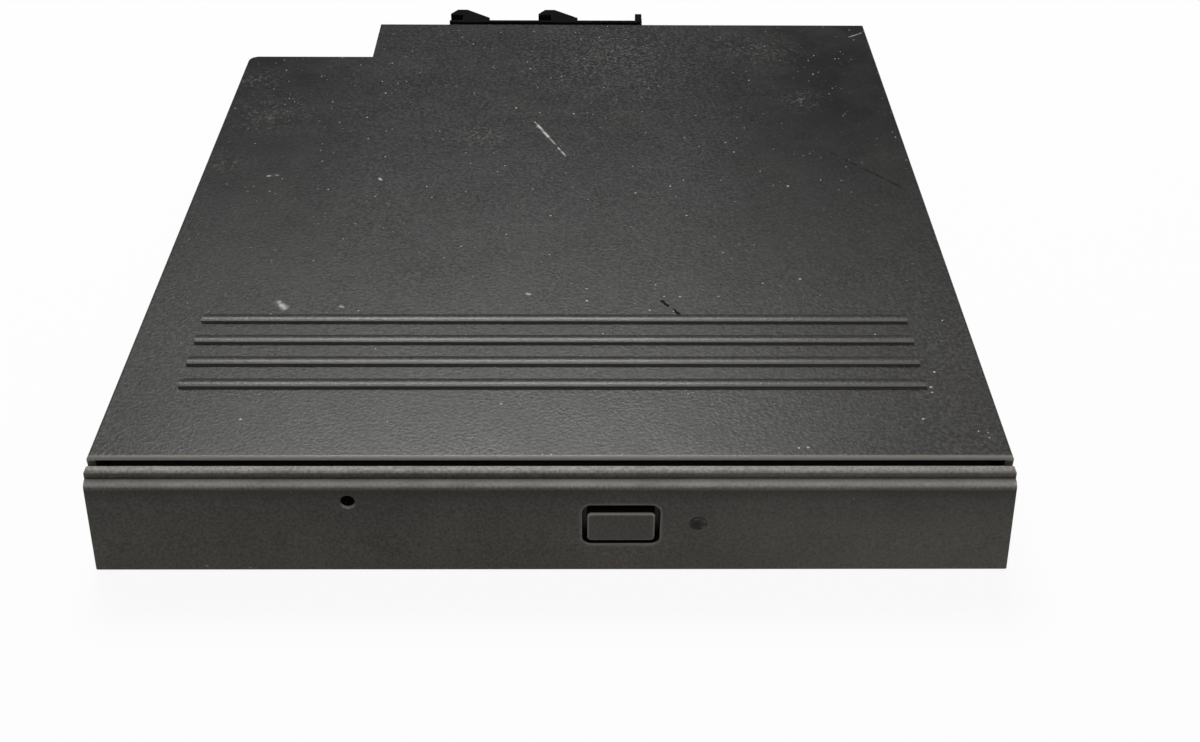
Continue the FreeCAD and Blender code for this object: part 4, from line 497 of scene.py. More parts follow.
# Each chip is (x, y, side). A leg is three bricks, (start, end, low, high) out from the chip's side.
CHIPS = ((-18.0, 34.8, 18.0), (-43.0, 34.8, 11.0), (9.0, 34.8, 11.0))
LEG_PITCH, LEG_WIDTH, LEG_MARGIN = 0.8, 0.32, 2.0
LEG_BENDS = ((-0.1, 0.42, 0.45, 0.6), (0.3, 0.45, 0.02, 0.58), (0.32, 1.0, 0.0, 0.14))
tin_finish = plated_steel("tinned_ends", (0.62, 0.61, 0.58), 0.3)
mesh = bmesh.new()
for x, y, side in CHIPS:
    count = int((side - LEG_MARGIN) / LEG_PITCH) + 1
    for quarter in range(4):
        facing = at(x, y, BOARD_TOP) @ Matrix.Rotation(quarter * pi / 2, 4, "Z")
        for i in range(count):
            left = (i - (count - 1) / 2) * LEG_PITCH - LEG_WIDTH / 2
            for start, end, low, high in LEG_BENDS:
                near, far = (side / 2 + start, left, low), (side / 2 + end, left + LEG_WIDTH, high)
                brick(mesh, near, far, facing)
new_piece("chip_legs", mesh, "contact_metal", tin_finish, body="case", smooth=20)

# The small parts stand in loose rows, each with a tinned end left and right, and keep clear of
# the chips, the sockets, the screws and the notch: (left, right, front, rear).
KEEP_CLEAR = ((-29.5, -6.5, 23.5, 46.0), (-51.0, -35.0, 26.5, 43.0), (1.0, 17.0, 26.5, 43.0),
              (30.0, 56.0, 16.0, 24.0), (-27.5, 20.0, 60.0, 70.0), (-64.0, -56.0, 18.0, 24.0),
              (-64.0, -56.0, 45.0, 52.0), (56.0, 64.0, 18.0, 24.0), (56.0, 64.0, 45.0, 52.0),
              (-70.0, -34.0, 47.0, 80.0), (50.0, 62.0, 55.0, 68.0), (-37.0, -24.0, 55.0, 68.0))
CLEARANCE = 1
PART_SIZES = ((1.6, 0.8, 0.6), (2.0, 1.2, 0.75), (1.0, 0.5, 0.4))
PART_ROWS, FIRST_ROW_Y, ROW_PITCH, ROW_STRAY = 13, 20.5, 3.5, 0.6
PART_COLUMNS, FIRST_COLUMN_X, COLUMN_PITCH, COLUMN_STRAY = 24, -56.0, 4.8, 1.2
TURNED_SHARE, FILLED_SHARE = 0.5, 0.62
BODY_SHARE, END_SHARE, END_LIP = 0.3, 0.5, 0.03
draw = random.Random(11)
ceramic_finish = moulded_plastic("fired_ceramic", (0.30, 0.21, 0.13), 0.45, grain=6000.0)
mesh = bmesh.new()
for row in range(PART_ROWS):
    for column in range(PART_COLUMNS):
        x = FIRST_COLUMN_X + column * COLUMN_PITCH + draw.uniform(-COLUMN_STRAY, COLUMN_STRAY)
        y = FIRST_ROW_Y + row * ROW_PITCH + draw.uniform(-ROW_STRAY, ROW_STRAY)
        length, width, height = draw.choice(PART_SIZES)
        turned = draw.random() < TURNED_SHARE
        wanted = draw.random() < FILLED_SHARE
        blocked = any(left - CLEARANCE < x < right + CLEARANCE and front - CLEARANCE < y < rear + CLEARANCE
                      for left, right, front, rear in KEEP_CLEAR)
        if blocked or not wanted:
            continue
        facing = at(x, y, BOARD_TOP) @ Matrix.Rotation(pi / 2 if turned else 0, 4, "Z")
        body = length * BODY_SHARE
        brick(mesh, (-body, -width / 2, 0), (body, width / 2, height), facing)
        for end in (-1, 1):
            inner, outer = sorted((end * body, end * length * END_SHARE))
            low, high = (inner, -width / 2 - END_LIP, 0), (outer, width / 2 + END_LIP, height + END_LIP)
            brick(mesh, low, high, facing, slot=1)
new_piece("board_parts", mesh, "chip_black", ceramic_finish, tin_finish, body="case", smooth=20)

# Flat-cable socket: ivory nylon with a brown sliding latch bar, soldered near the board's front
# edge by a row of twenty tinned tails.
TAILS, FIRST_TAIL_X, TAIL_PITCH, TAIL_WIDTH, TAIL_THICK = 20, 33.9, 0.96, 0.4, 0.15
TAIL_FRONT, TAIL_REAR = 21.85, 22.6
socket_finish = moulded_plastic("socket_plastic", (0.66, 0.62, 0.50), 0.4, grain=5000.0, contrast=0.08,
                                speckle=0.1)
dress("flex_socket", socket_finish)
mesh = bmesh.new()
for i in range(TAILS):
    x = FIRST_TAIL_X + i * TAIL_PITCH
    brick(mesh, (x, TAIL_FRONT, BOARD_TOP), (x + TAIL_WIDTH, TAIL_REAR, BOARD_TOP + TAIL_THICK))
new_piece("socket_tails", mesh, "contact_metal", tin_finish, body="case", smooth=20)
latch_bar_finish = moulded_plastic("latch_bar_plastic", (0.09, 0.055, 0.035), 0.4, grain=5000.0)
LATCH_BAR_LOW, LATCH_BAR_HIGH, LATCH_BAR_EDGE = (31.8, 17.75, 3.55), (54.2, 19.3, 3.95), 0.12
mesh = bmesh.new()
brick(mesh, LATCH_BAR_LOW, LATCH_BAR_HIGH, soft=LATCH_BAR_EDGE)
new_piece("socket_latch_bar", mesh, "socket_plastic", latch_bar_finish, body="case")

# Rear plug: glass-filled black plastic with two hooked guide horns, on the board's rear edge.
# Two rows of gilt blades stand in its slot and meet the bay's socket.
# The pale rubbed edges on the plug's horns are painted glints.
dress("rear_connector", moulded_plastic("connector_plastic", (0.005, 0.005, 0.0053), 0.6, shine=0.02,
                                        grain=4000.0, dust=0.05, rub=4.0))
dress("connector_contacts", plated_steel("contact_metal", (0.80, 0.56, 0.22), 0.24,
                                         streak=(1, 0.1, 1), scale=3000.0))

# Runners: white acetal guides clipped along the case walls, and zinc-plated steel rails that
# slide on them and carry the drawer out in two stages.
guide_finish = moulded_plastic("rail_plastic", (0.56, 0.56, 0.52), 0.38, grain=4000.0, contrast=0.06,
                               speckle=0.1)
slide_finish = plated_steel("slide_steel", (0.60, 0.60, 0.59), 0.3, streak=(1.0, 0.03, 1.0), scale=2500.0)
dress("left_rail_guide right_rail_guide", guide_finish)
dress("left_slide_rail right_slide_rail", slide_finish)

# Drawer: black moulded tray with a dished well for the disc. It carries the whole mechanism,
# the bezel and the latch, and its flanks run in the slide rails.
dress("tray", moulded_plastic("tray_plastic", (0.024, 0.024, 0.025), 0.48, grain=3600.0, depth=0.03,
                              film=0.03, dust=0.05, rub=1.2))

# Flat cable: a white plastic ribbon with twenty tinned conductors. The lower run lies on the
# floor of the tub from the board, and the upper run follows the drawer out.
RIBBON_LEFT, RIBBON_RIGHT, RIBBON_THICK = 33.0, 53.0, 0.2
CONDUCTORS_PER_METRE = 1000.0
PLASTIC_WHITE, WIRE_GREY, SOILED = (0.74, 0.75, 0.76, 1), (0.50, 0.51, 0.53, 1), (0.52, 0.50, 0.44, 1)
ribbon_finish, tree, shader = new_material("flat_cable", Roughness=0.3)
lane = combine(tree, "FRACT", times(tree, axes_of(tree, object_place(tree))["X"], CONDUCTORS_PER_METRE))
swell = combine(tree, "ABSOLUTE", combine(tree, "SUBTRACT", lane, 0.5))
wire = remap(tree, swell, 0.34, 0.26)
tone = tint_over(tree, wire, PLASTIC_WHITE, WIRE_GREY)
tone = tint_over(tree, times(tree, noise(tree, 140.0, 4.0), 0.25), tone, SOILED)
feed(shader, Base_Color=tone, Normal=relief(tree, wire, 0.5, 0.05 * MM))


def ribbon(name, line, body=None):
    """A flat ribbon along a line of (y, z) points."""
    mesh = bmesh.new()
    rows = []
    for i, (y, z) in enumerate(line):
        before, after = line[max(i - 1, 0)], line[min(i + 1, len(line) - 1)]
        along = Vector((0, after[0] - before[0], after[1] - before[1])).normalized()
        out = Vector((0, -along.z, along.y)) * RIBBON_THICK / 2
        middle = Vector((0, y, z))
        corners = []
        for x, side in ((RIBBON_LEFT, -1), (RIBBON_RIGHT, -1), (RIBBON_RIGHT, 1), (RIBBON_LEFT, 1)):
            corners.append((Vector((x, 0, 0)) + middle + out * side) * MM)
        rows.append(corners)
    stack_rings(mesh, rows)
    return new_piece(name, mesh, "flat_cable", ribbon_finish, body=body, smooth=50)


BEND_Y, BEND_Z, BEND_RADIUS = -16.1, 2.7, 1.4
BEND_STEPS, FLOOR_STEPS, RUN_STEPS = 16, 12, 96
FLOOR_START_Y, FLOOR_Z = 12.0, 1.3
UPPER_END_Y, UPPER_Z, UPPER_RISE, RISE_SHARE = 50.3, 4.1, 0.2, 0.2
lower_line = [(18.6, 3.3), (17.5, 3.3), (16.8, 3.22), (16.0, 2.95), (14.5, 1.95), (13.6, 1.5), (12.8, 1.33)]
lower_line.append((FLOOR_START_Y, FLOOR_Z))
for i in range(1, FLOOR_STEPS):
    part = 1 - i / FLOOR_STEPS
    lower_line.append((BEND_Y + (FLOOR_START_Y - BEND_Y) * part, BEND_Z - BEND_RADIUS))
for i in range(BEND_STEPS + 1):
    angle = radians(-90 - 180 * i / BEND_STEPS)
    lower_line.append((BEND_Y + BEND_RADIUS * cos(angle), BEND_Z + BEND_RADIUS * sin(angle)))
ribbon("flat_cable_lower", lower_line, "case")
upper_line = []
for i in range(RUN_STEPS + 1):
    part = i / RUN_STEPS
    y = BEND_Y + (UPPER_END_Y - BEND_Y) * part
    upper_line.append((y, UPPER_Z + UPPER_RISE * min(1.0, part / RISE_SHARE)))
upper_run = ribbon("flat_cable_upper", upper_line)
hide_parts("flex_cable")
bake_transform(upper_run)
DRAWER_SOCKET_LOW, DRAWER_SOCKET_HIGH, DRAWER_SOCKET_EDGE = (31.8, 48.6, 4.12), (54.2, 51.6, 4.75), 0.1
mesh = bmesh.new()
brick(mesh, DRAWER_SOCKET_LOW, DRAWER_SOCKET_HIGH, soft=DRAWER_SOCKET_EDGE)
new_piece("drawer_socket", mesh, "socket_plastic", socket_finish, body="tray")

# Chassis: a pressed, zinc-plated steel plate that hangs on three rubber mounts under the deck.
# It holds the spindle motor, the guide rods and the feed motor.
chassis_finish = plated_steel("chassis_steel", (0.46, 0.46, 0.45), 0.4, scale=260.0, contrast=0.1)
dress("mech_chassis motor_base", chassis_finish)
rubber_finish = moulded_plastic("damper_rubber", (0.018, 0.018, 0.018), 0.75, shine=0.2, grain=5000.0,
                                dust=0.3)
dress("dampers", rubber_finish)
SPINDLE_Y = -9.6
MECH_ANGLE = radians(-45)


def mech(u, v, z):
    """A place in the mechanism's own frame, which lies at an angle to the drive."""
    return at(0, SPINDLE_Y, 0) @ Matrix.Rotation(MECH_ANGLE, 4, "Z") @ at(u, v, z)


DAMPER_SCREW = (2.4, 0.7, 1.0, 4.2)
DAMPERS = ((-18.4, 20.8), (-18.4, -20.8), (47.0, 20.8))
DAMPER_SCREW_Z = 8.1
mesh = bmesh.new()
for u, v in DAMPERS:
    screw(mesh, mech(u, v, DAMPER_SCREW_Z) @ UPSIDE_DOWN, DAMPER_SCREW)
piece = new_piece("damper_screws_cut", mesh, "screw_steel", screw_finish, body="tray")
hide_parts("damper_screws")

# Spindle motor: a stack of stamped plates with nine wound teeth, a turned aluminium rotor that
# carries the disc on a rubber ring, and three sprung claws in its nose.
stack_finish = plated_steel("motor_steel", (0.42, 0.42, 0.43), 0.38, streak=(0.05, 0.05, 1.0), scale=5000.0,
                            contrast=0.35)
dress("motor_stator", stack_finish)
copper_finish = plated_steel("enamelled_copper", (0.66, 0.26, 0.09), 0.3, scale=2500.0, contrast=0.2,
                             coat=0.4)


def wire_along(mesh, line, thick, sides, closed=False):
    """A round wire that follows a line of points."""
    count = len(line)
    rings = []
    guide = Vector((0.31, 0.52, 0.79)).normalized()
    for i, point in enumerate(line):
        before = line[(i - 1) % count] if closed else line[max(i - 1, 0)]
        after = line[(i + 1) % count] if closed else line[min(i + 1, count - 1)]
        along = (after - before).normalized()
        guide = (guide - along * guide.dot(along)).normalized()
        other = along.cross(guide)
        ways = [guide * cos(a) + other * sin(a) for a in round_angles(sides)]
        rings.append([point + way * thick for way in ways])
    stack_rings(mesh, rings, endless=closed)


def held(value, limit):
    return max(-limit, min(limit, value))


# Each layer of a winding is (turns, first turn from the axis, pitch, half width, half height).
TEETH, STATOR_Z, WINDING_WIRE, TURN_STEPS = 9, 8.555, 0.21, 8
WINDING_LAYERS = ((8, 5.4, 0.44, 1.0, 1.82), (7, 8.7, -0.44, 1.4, 2.2))
SQUARENESS = 1.5
mesh = bmesh.new()
for tooth in range(TEETH):
    facing = mech(0, 0, STATOR_Z) @ Matrix.Rotation(2 * pi * tooth / TEETH, 4, "Z")
    line = []
    for turns, first, pitch, half_v, half_z in WINDING_LAYERS:
        for step in range(turns * TURN_STEPS):
            angle = 2 * pi * step / TURN_STEPS + pi / TURN_STEPS
            u = first + pitch * step / TURN_STEPS
            v = held(SQUARENESS * half_v * cos(angle), half_v)
            z = held(SQUARENESS * half_z * sin(angle), half_z)
            line.append(facing @ (Vector((u, v, z)) * MM))
    wire_along(mesh, line, WINDING_WIRE * MM, sides=6)
new_piece("stator_windings", mesh, "contact_metal", copper_finish, body="tray")

# Fine rings that a lathe leaves, about an upright axis.
tree, given, out = start_group("lathe_rings", {"Centre": (0.0, 0.0, 0.0), "Rings": 9000.0},
                               ["Height", "Tone"])
offset = vector_step(tree, "SUBTRACT", object_place(tree), given["Centre"])
level_part = vector_step(tree, "MULTIPLY", offset, (1, 1, 0))
reach = vector_step(tree, "LENGTH", level_part)
for name, rings, detail in (("Height", given["Rings"], 2.0), ("Tone", 1600.0, 1.0)):
    bands = add(tree, "TexNoise", noise_dimensions="1D", W=reach, Scale=rings, Detail=detail)
    feed(out, **{name: bands["Fac"]})
lathe_group = tree
rotor_finish, tree, shader = new_material("rotor_aluminium", Metallic=1.0)
turned = place_group(tree, lathe_group, Centre=(0, SPINDLE_Y * MM, 0))
tone = tint_over(tree, turned["Tone"], (0.28, 0.28, 0.285, 1), (0.40, 0.40, 0.405, 1))
gloss = remap(tree, turned["Tone"], 0.0, 1.0, 0.34, 0.5)
grooves = relief(tree, turned["Height"], 0.6, 0.06 * MM)
feed(shader, Base_Color=tone, Roughness=gloss, Normal=grooves)
dress("spindle_rotor", rotor_finish)
dress("rotor_pad", rubber_finish)
claw_finish = moulded_plastic("claw_plastic", (0.02, 0.02, 0.021), 0.4, grain=6000.0)
dress("hub_claw_1 hub_claw_2 hub_claw_3", claw_finish)

# Traverse: two ground steel rods guide the pickup, and a stepper motor with a coarse lead screw
# drives it along them.
rod_finish = plated_steel("rod_steel", (0.74, 0.74, 0.75), 0.14, streak=(0.06, 0.06, 1), scale=3000.0,
                          contrast=0.05)
dress("main_guide_rod sub_guide_rod", rod_finish)
dress("feed_motor", stack_finish)
SCREW_V, SCREW_Z = -20.0, 7.2
SHAFT_START, SHAFT_END, SHAFT_RADIUS = 1.55, 58.0, 0.6
SHAFT_CHAMFER = 0.1
THREAD_START, THREAD_END, THREAD_LEAD = 10.1, 56.1, 3.0
THREAD_RADIUS, THREAD_DEPTH, THREAD_ROUND = 1.2, 0.38, 0.7
THREAD_SIDES, THREAD_STEP = 28, 0.16
along_u = mech(0, SCREW_V, SCREW_Z) @ Matrix.Rotation(pi / 2, 4, "Y")


def thread_ring(u):
    """One ring of the lead screw: a rounded groove that winds round the shaft."""
    points = []
    for angle in round_angles(THREAD_SIDES):
        phase = (angle / (2 * pi) - u / THREAD_LEAD) % 1.0
        groove = max(0.0, cos(2 * pi * phase)) ** THREAD_ROUND
        reach = (THREAD_RADIUS - THREAD_DEPTH * groove) * MM
        points.append(Vector((reach * cos(angle), reach * sin(angle), u * MM)))
    return points


def shaft_ring(radius, u):
    return round_ring(radius * MM, u * MM, THREAD_SIDES)


TIP_RADIUS, TIP_LENGTH = SHAFT_RADIUS - SHAFT_CHAMFER, 0.15
rings = [shaft_ring(TIP_RADIUS, SHAFT_START), shaft_ring(SHAFT_RADIUS, SHAFT_START + TIP_LENGTH)]
rings += [shaft_ring(SHAFT_RADIUS, THREAD_START)]
steps = int((THREAD_END - THREAD_START) / THREAD_STEP)
rings += [thread_ring(THREAD_START + (THREAD_END - THREAD_START) * i / steps) for i in range(steps + 1)]
rings += [shaft_ring(SHAFT_RADIUS, THREAD_END), shaft_ring(SHAFT_RADIUS, SHAFT_END - TIP_LENGTH)]
rings += [shaft_ring(TIP_RADIUS, SHAFT_END)]
mesh = bmesh.new()
stack_rings(mesh, rings, along_u)
piece = new_piece("lead_screw_cut", mesh, "rod_steel", rod_finish, body="lead_screw", smooth=45)
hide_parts("lead_screw")

# Pickup: a die-cast zinc sled on the rods. The lens sits in a black frame that hangs on four
# thin wires and is moved by two small coils.
dress("pickup_body", plated_steel("pickup_alloy", (0.27, 0.27, 0.28), 0.5, scale=1800.0, contrast=0.18))
lever_finish = moulded_plastic("lever_plastic", (0.60, 0.57, 0.49), 0.38, grain=4500.0, contrast=0.08,
                               speckle=0.12)
dress("pickup_rack", lever_finish)
dress("lens_holder", claw_finish)
lens_finish, tree, shader = new_material("lens_glass", Roughness=0.03, Coat_Weight=1.0, Coat_Roughness=0.02)
# The blue turns purple towards the lens's rim: a painted reflection of its coating.
bloom = add(tree, "LayerWeight", Blend=0.35)["Facing"]
coating_reflection = tint_over(tree, bloom, (0.02, 0.035, 0.11, 1), (0.22, 0.10, 0.32, 1))
feed(shader, Base_Color=coating_reflection)
dress("objective_lens", lens_finish)
LENS_U, COIL_V, HOLDER_TOP = 22.5, 4.3, 10.5
COIL_HALF_U, COIL_HALF_V, COIL_SWEEP_U, COIL_SWEEP_V = 1.7, 0.8, 2.4, 1.1
COIL_TURNS, COIL_STEPS, COIL_PITCH, COIL_LIFT, COIL_WIRE = 4, 24, 0.1, 0.06, 0.07
mesh = bmesh.new()
for side in (-1, 1):
    for turn in range(COIL_TURNS):
        line = []
        for angle in round_angles(COIL_STEPS):
            u = LENS_U + held(COIL_SWEEP_U * cos(angle), COIL_HALF_U)
            v = side * (COIL_V + held(COIL_SWEEP_V * sin(angle), COIL_HALF_V))
            line.append(mech(u, v, HOLDER_TOP + COIL_LIFT + turn * COIL_PITCH) @ Vector())
        wire_along(mesh, line, COIL_WIRE * MM, sides=5, closed=True)
new_piece("lens_coils", mesh, "contact_metal", copper_finish, body="lens")

# Deck cover: a thin black-painted steel plate let into the drawer's deck, with a keyhole for
# the turntable and the lens.
dress("deck_cover", moulded_plastic("deck_steel", (0.05, 0.05, 0.053), 0.36, shine=0.5, grain=7000.0,
                                    depth=0.01, contrast=0.1, speckle=0.2, film=0.03, dust=0.2))

# Shield: a sheet of black polyester stuck under the drawer's opening, so that no dust comes up
# into the mechanism from the case.
SHIELD_LOW, SHIELD_HIGH = 4.48, 4.57
SHIELD_HALF = ((-27.5, 18.6), (-19.6, 26.5), (57.6, 26.5), (67.0, 17.1))
outline = SHIELD_HALF + tuple((u, -v) for u, v in reversed(SHIELD_HALF))
sheet_finish = moulded_plastic("polyester_sheet", (0.012, 0.012, 0.013), 0.36, shine=0.2, grain=5000.0,
                               depth=0.01, contrast=0.1)
mesh = bmesh.new()
sheet_rings = [[Vector((u, v, z)) * MM for u, v in outline] for z in (SHIELD_LOW, SHIELD_HIGH)]
stack_rings(mesh, sheet_rings, mech(0, 0, 0))
new_piece("mechanism_shield", mesh, "damper_rubber", sheet_finish, body="tray")

# Latch: an acetal lever on a steel pin hooks a post in the tub and holds the drawer shut. A
# small pull magnet with a copper winding frees it.
dress("latch_post latch_pin", screw_finish)
dress("latch_lever", lever_finish)
dress("latch_solenoid", stack_finish)
SOLENOID_START, SOLENOID_END, SOLENOID_Y, SOLENOID_Z = -43.7, -31.3, -57.1, 7.8
COPPER_RADIUS, COPPER_WIRE, COPPER_TURNS, COPPER_STEPS = 2.22, 0.17, 34, 16
mesh = bmesh.new()
line = []
for step in range(COPPER_TURNS * COPPER_STEPS + 1):
    angle = 2 * pi * step / COPPER_STEPS
    x = SOLENOID_START + (SOLENOID_END - SOLENOID_START) * step / (COPPER_TURNS * COPPER_STEPS)
    y = SOLENOID_Y + COPPER_RADIUS * cos(angle)
    z = SOLENOID_Z + COPPER_RADIUS * sin(angle)
    line.append(Vector((x, y, z)) * MM)
wire_along(mesh, line, COPPER_WIRE * MM, sides=6)
new_piece("solenoid_winding", mesh, "contact_metal", copper_finish, body="tray")

# Front board: a strip of green laminate behind the bezel with the eject switch and the lamp.
# The button's stem pushes the plunger that stands out of the switch.
dress("front_board", board_finish)
dress("eject_switch", chip_finish)
dress("lamp switch_plunger", socket_finish)

# Bezel: moulded in warm dark grey with a coarser grain than the case, clipped to the drawer.
# A rounded lip and a bead run along its top; their pale tops are a painted highlight of the light from
# above, with dust and worn edges on them.
BEZEL_COLOUR = (0.057, 0.051, 0.043)
PAINTED_SHADE_BLACK = (0.003, 0.003, 0.003, 1)
bezel_finish, tree, shader, tone = moulded_skin("bezel_plastic", BEZEL_COLOUR, 0.5, shine=0.25, grain=2400.0,
                                                depth=0.035, cloud=50.0, contrast=0.5, speckle=0.38,
                                                film=0.97, dust=0.12, rub=1.0, crevice_shade=True)
place = object_place(tree)
axes = axes_of(tree, place)
PALER_RIGHT_X, BELOW_LIP, ON_BEAD = 40 * MM, 16.8 * MM, 16.5 * MM
# The bezel is made a little paler towards its right end.
paler_ramp = remap(tree, axes["X"], 0.0, PALER_RIGHT_X, 0.0, 0.085, how="SMOOTHSTEP")
tone = tint_over(tree, paler_ramp, tone, FILM_AND_HIGHLIGHT_COLOUR)
# Faces that look up below the lip, the bead's top most of all, are painted half pale: a painted highlight of
# the light from above.
lying = place_group(tree, film_group, Lowest=0.3, Highest=0.9)["Mask"]
highlight_below_lip = remap(tree, axes["Z"], BELOW_LIP, ON_BEAD, 0.0, 0.5)
tone = tint_over(tree, times(tree, lying, highlight_below_lip), tone, DUST_AND_HIGHLIGHT_COLOUR)

# Painted shade darkens the face under the bead and the groove over it, and fades towards the foot:
# (share of the ramp's height, grey).
FACE_SHADE_TONES = ((0.05, 1.0), (0.4, 0.82), (0.625, 0.62), (0.735, 0.30), (0.755, 1.0),
              (0.797, 1.0), (0.805, 0.6), (0.822, 0.6), (0.830, 1.0))
RAMP_HEIGHT = 20 * MM
level = combine(tree, "DIVIDE", axes["Z"], RAMP_HEIGHT)
shade_ramp = tree.nodes.new("ShaderNodeValToRGB")
stops = shade_ramp.color_ramp.elements
stops.remove(stops[1])
for number, (height, grey) in enumerate(FACE_SHADE_TONES):
    stop = stops.new(height) if number else stops[0]
    stop.position = height
    stop.color = (grey, grey, grey, 1)
tone = tint_over(tree, 1.0, tone, feed(shade_ramp, level)["Color"], "MULTIPLY")

# Fingers have worn the edge of the button's opening pale, and its walls are painted black: painted shade.
OPENING_CORNER = 1.35 * MM
OPENING_MIDDLE, OPENING_INNER = (9.8 * MM, 0, 8.55 * MM), (4.2 * MM, 1.0, 2.25 * MM)
OPENING_EDGE_Y = -77.0 * MM
RIM_WIDTH, WALL_OVERLAP = 0.5 * MM, 0.03 * MM
offset = vector_step(tree, "ABSOLUTE", vector_step(tree, "SUBTRACT", place, OPENING_MIDDLE))
beyond = vector_step(tree, "MAXIMUM", vector_step(tree, "SUBTRACT", offset, OPENING_INNER), (0, 0, 0))
away = combine(tree, "SUBTRACT", vector_step(tree, "LENGTH", beyond), OPENING_CORNER)
tone = tint_over(tree, remap(tree, away, RIM_WIDTH, 0.0, 0.0, 0.2), tone, FILM_AND_HIGHLIGHT_COLOUR)
shaded_wall = combine(tree, "LESS_THAN", away, WALL_OVERLAP)
shaded_wall = times(tree, shaded_wall, combine(tree, "GREATER_THAN", axes["Y"], OPENING_EDGE_Y))
tone = tint_over(tree, shaded_wall, tone, PAINTED_SHADE_BLACK)
# The pinhole is painted black inside: painted shade.
PINHOLE_X, PINHOLE_Z, PINHOLE_RADIUS = -28.7 * MM, 12.8 * MM, 0.98 * MM
upright_only = vector_step(tree, "MULTIPLY", place, (1, 0, 1))
reach = vector_step(tree, "DISTANCE", upright_only, (PINHOLE_X, 0, PINHOLE_Z))
tone = tint_over(tree, combine(tree, "LESS_THAN", reach, PINHOLE_RADIUS), tone, PAINTED_SHADE_BLACK)
feed(shader, Base_Color=tone)
dress("front_bezel", bezel_finish)

# Eject button: a moulded cap with rounded edges, held behind the bezel by its flange, with a stem
# that pushes the switch. Its rim is worn pale, and its flanks are painted black: painted shade of the
# opening.
CAP_LOW, CAP_HIGH, CAP_CORNER, CAP_EDGE = (5.0, 5.7), (14.6, 10.9), 0.6, 0.35
CAP_FRONT, CAP_BACK, EDGE_STEPS = -77.35, -75.2, 4
FLANGE_LOW, FLANGE_HIGH, FLANGE_CORNER = (3.3, 4.0), (16.3, 12.6), 0.5
FLANGE_FRONT, FLANGE_BACK = -75.25, -74.65
STEM_X, STEM_Z, STEM_END, STEM_RADIUS, STEM_LENGTH = 9.8, 8.3, -71.8, 1.0, 2.9
CORNER_STEPS = 6
WORN_RIM, PAINTED_SHADE_FLANK = (-77.34 * MM, -77.24 * MM), (-77.1 * MM, -76.9 * MM)
button_finish, tree, shader, tone = moulded_skin("button_plastic", (0.040, 0.037, 0.031), 0.45, shine=0.25,
                                                 grain=2600.0, depth=0.03, contrast=0.2, film=0.5, dust=0.2,
                                                 rub=3.0, crevice_shade=True)
behind = axes_of(tree, object_place(tree))["Y"]
tone = tint_over(tree, remap(tree, behind, *WORN_RIM, 0.0, 0.6), tone, FILM_AND_HIGHLIGHT_COLOUR)
tone = tint_over(tree, remap(tree, behind, *PAINTED_SHADE_FLANK), tone, PAINTED_SHADE_BLACK)
feed(shader, Base_Color=tone)


def panel_ring(low, high, corner, y):
    """The outline of an upright plate with rounded corners, at one depth, in millimetres."""
    points = []
    for quarter in range(4):
        x = high[0] - corner if quarter in (0, 3) else low[0] + corner
        z = high[1] - corner if quarter in (0, 1) else low[1] + corner
        for i in range(CORNER_STEPS + 1):
            angle = pi / 2 * (quarter + i / CORNER_STEPS)
            points.append(Vector((x + corner * cos(angle), y, z + corner * sin(angle))) * MM)
    return points


mesh = bmesh.new()
rings = [panel_ring(CAP_LOW, CAP_HIGH, CAP_CORNER, CAP_BACK)]
for i in range(EDGE_STEPS + 1):
    lean = pi / 2 * i / EDGE_STEPS
    inset = CAP_EDGE * (1 - cos(lean))
    low = (CAP_LOW[0] + inset, CAP_LOW[1] + inset)
    high = (CAP_HIGH[0] - inset, CAP_HIGH[1] - inset)
    rings.append(panel_ring(low, high, CAP_CORNER, CAP_FRONT + CAP_EDGE * (1 - sin(lean))))
stack_rings(mesh, rings)
flange = [panel_ring(FLANGE_LOW, FLANGE_HIGH, FLANGE_CORNER, y) for y in (FLANGE_BACK, FLANGE_FRONT)]
stack_rings(mesh, flange)
stem = at(STEM_X, STEM_END, STEM_Z) @ Matrix.Rotation(pi / 2, 4, "X")
stack_rings(mesh, [round_ring(STEM_RADIUS * MM, z * MM) for z in (0, STEM_LENGTH)], stem)
piece = new_piece("eject_button_cut", mesh, "button_plastic", button_finish, body="eject_button")
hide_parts("eject_button")

# Lamp lens: a small plug of tinted plastic in the bezel that leads the lamp's light to the front.
# Unlit, it shows only as a dim round mark.
LENS_FACE = (20.6 * MM, -77.0 * MM, 8.6 * MM)
LENS_RIM, LENS_CORE, LENS_DARK = 1.2 * MM, 0.5 * MM, (0.014, 0.013, 0.011, 1)
lamp_finish, tree, shader, tone = moulded_skin("lamp_clear", BEZEL_COLOUR, 0.5, shine=0.1, grain=1800.0,
                                               speckle=0.6)
middle = vector_step(tree, "DISTANCE", object_place(tree), LENS_FACE)
tone = tint_over(tree, remap(tree, middle, LENS_RIM, LENS_CORE), tone, LENS_DARK)
feed(shader, Base_Color=tone)
dress("lamp_lens", lamp_finish)

# Top cover: a lid moulded in dark grey with a satin skin, snapped and screwed to the tub. Years
# in a bag have left dust, a few scratches and paler scuffs, most of them where hands hold it.

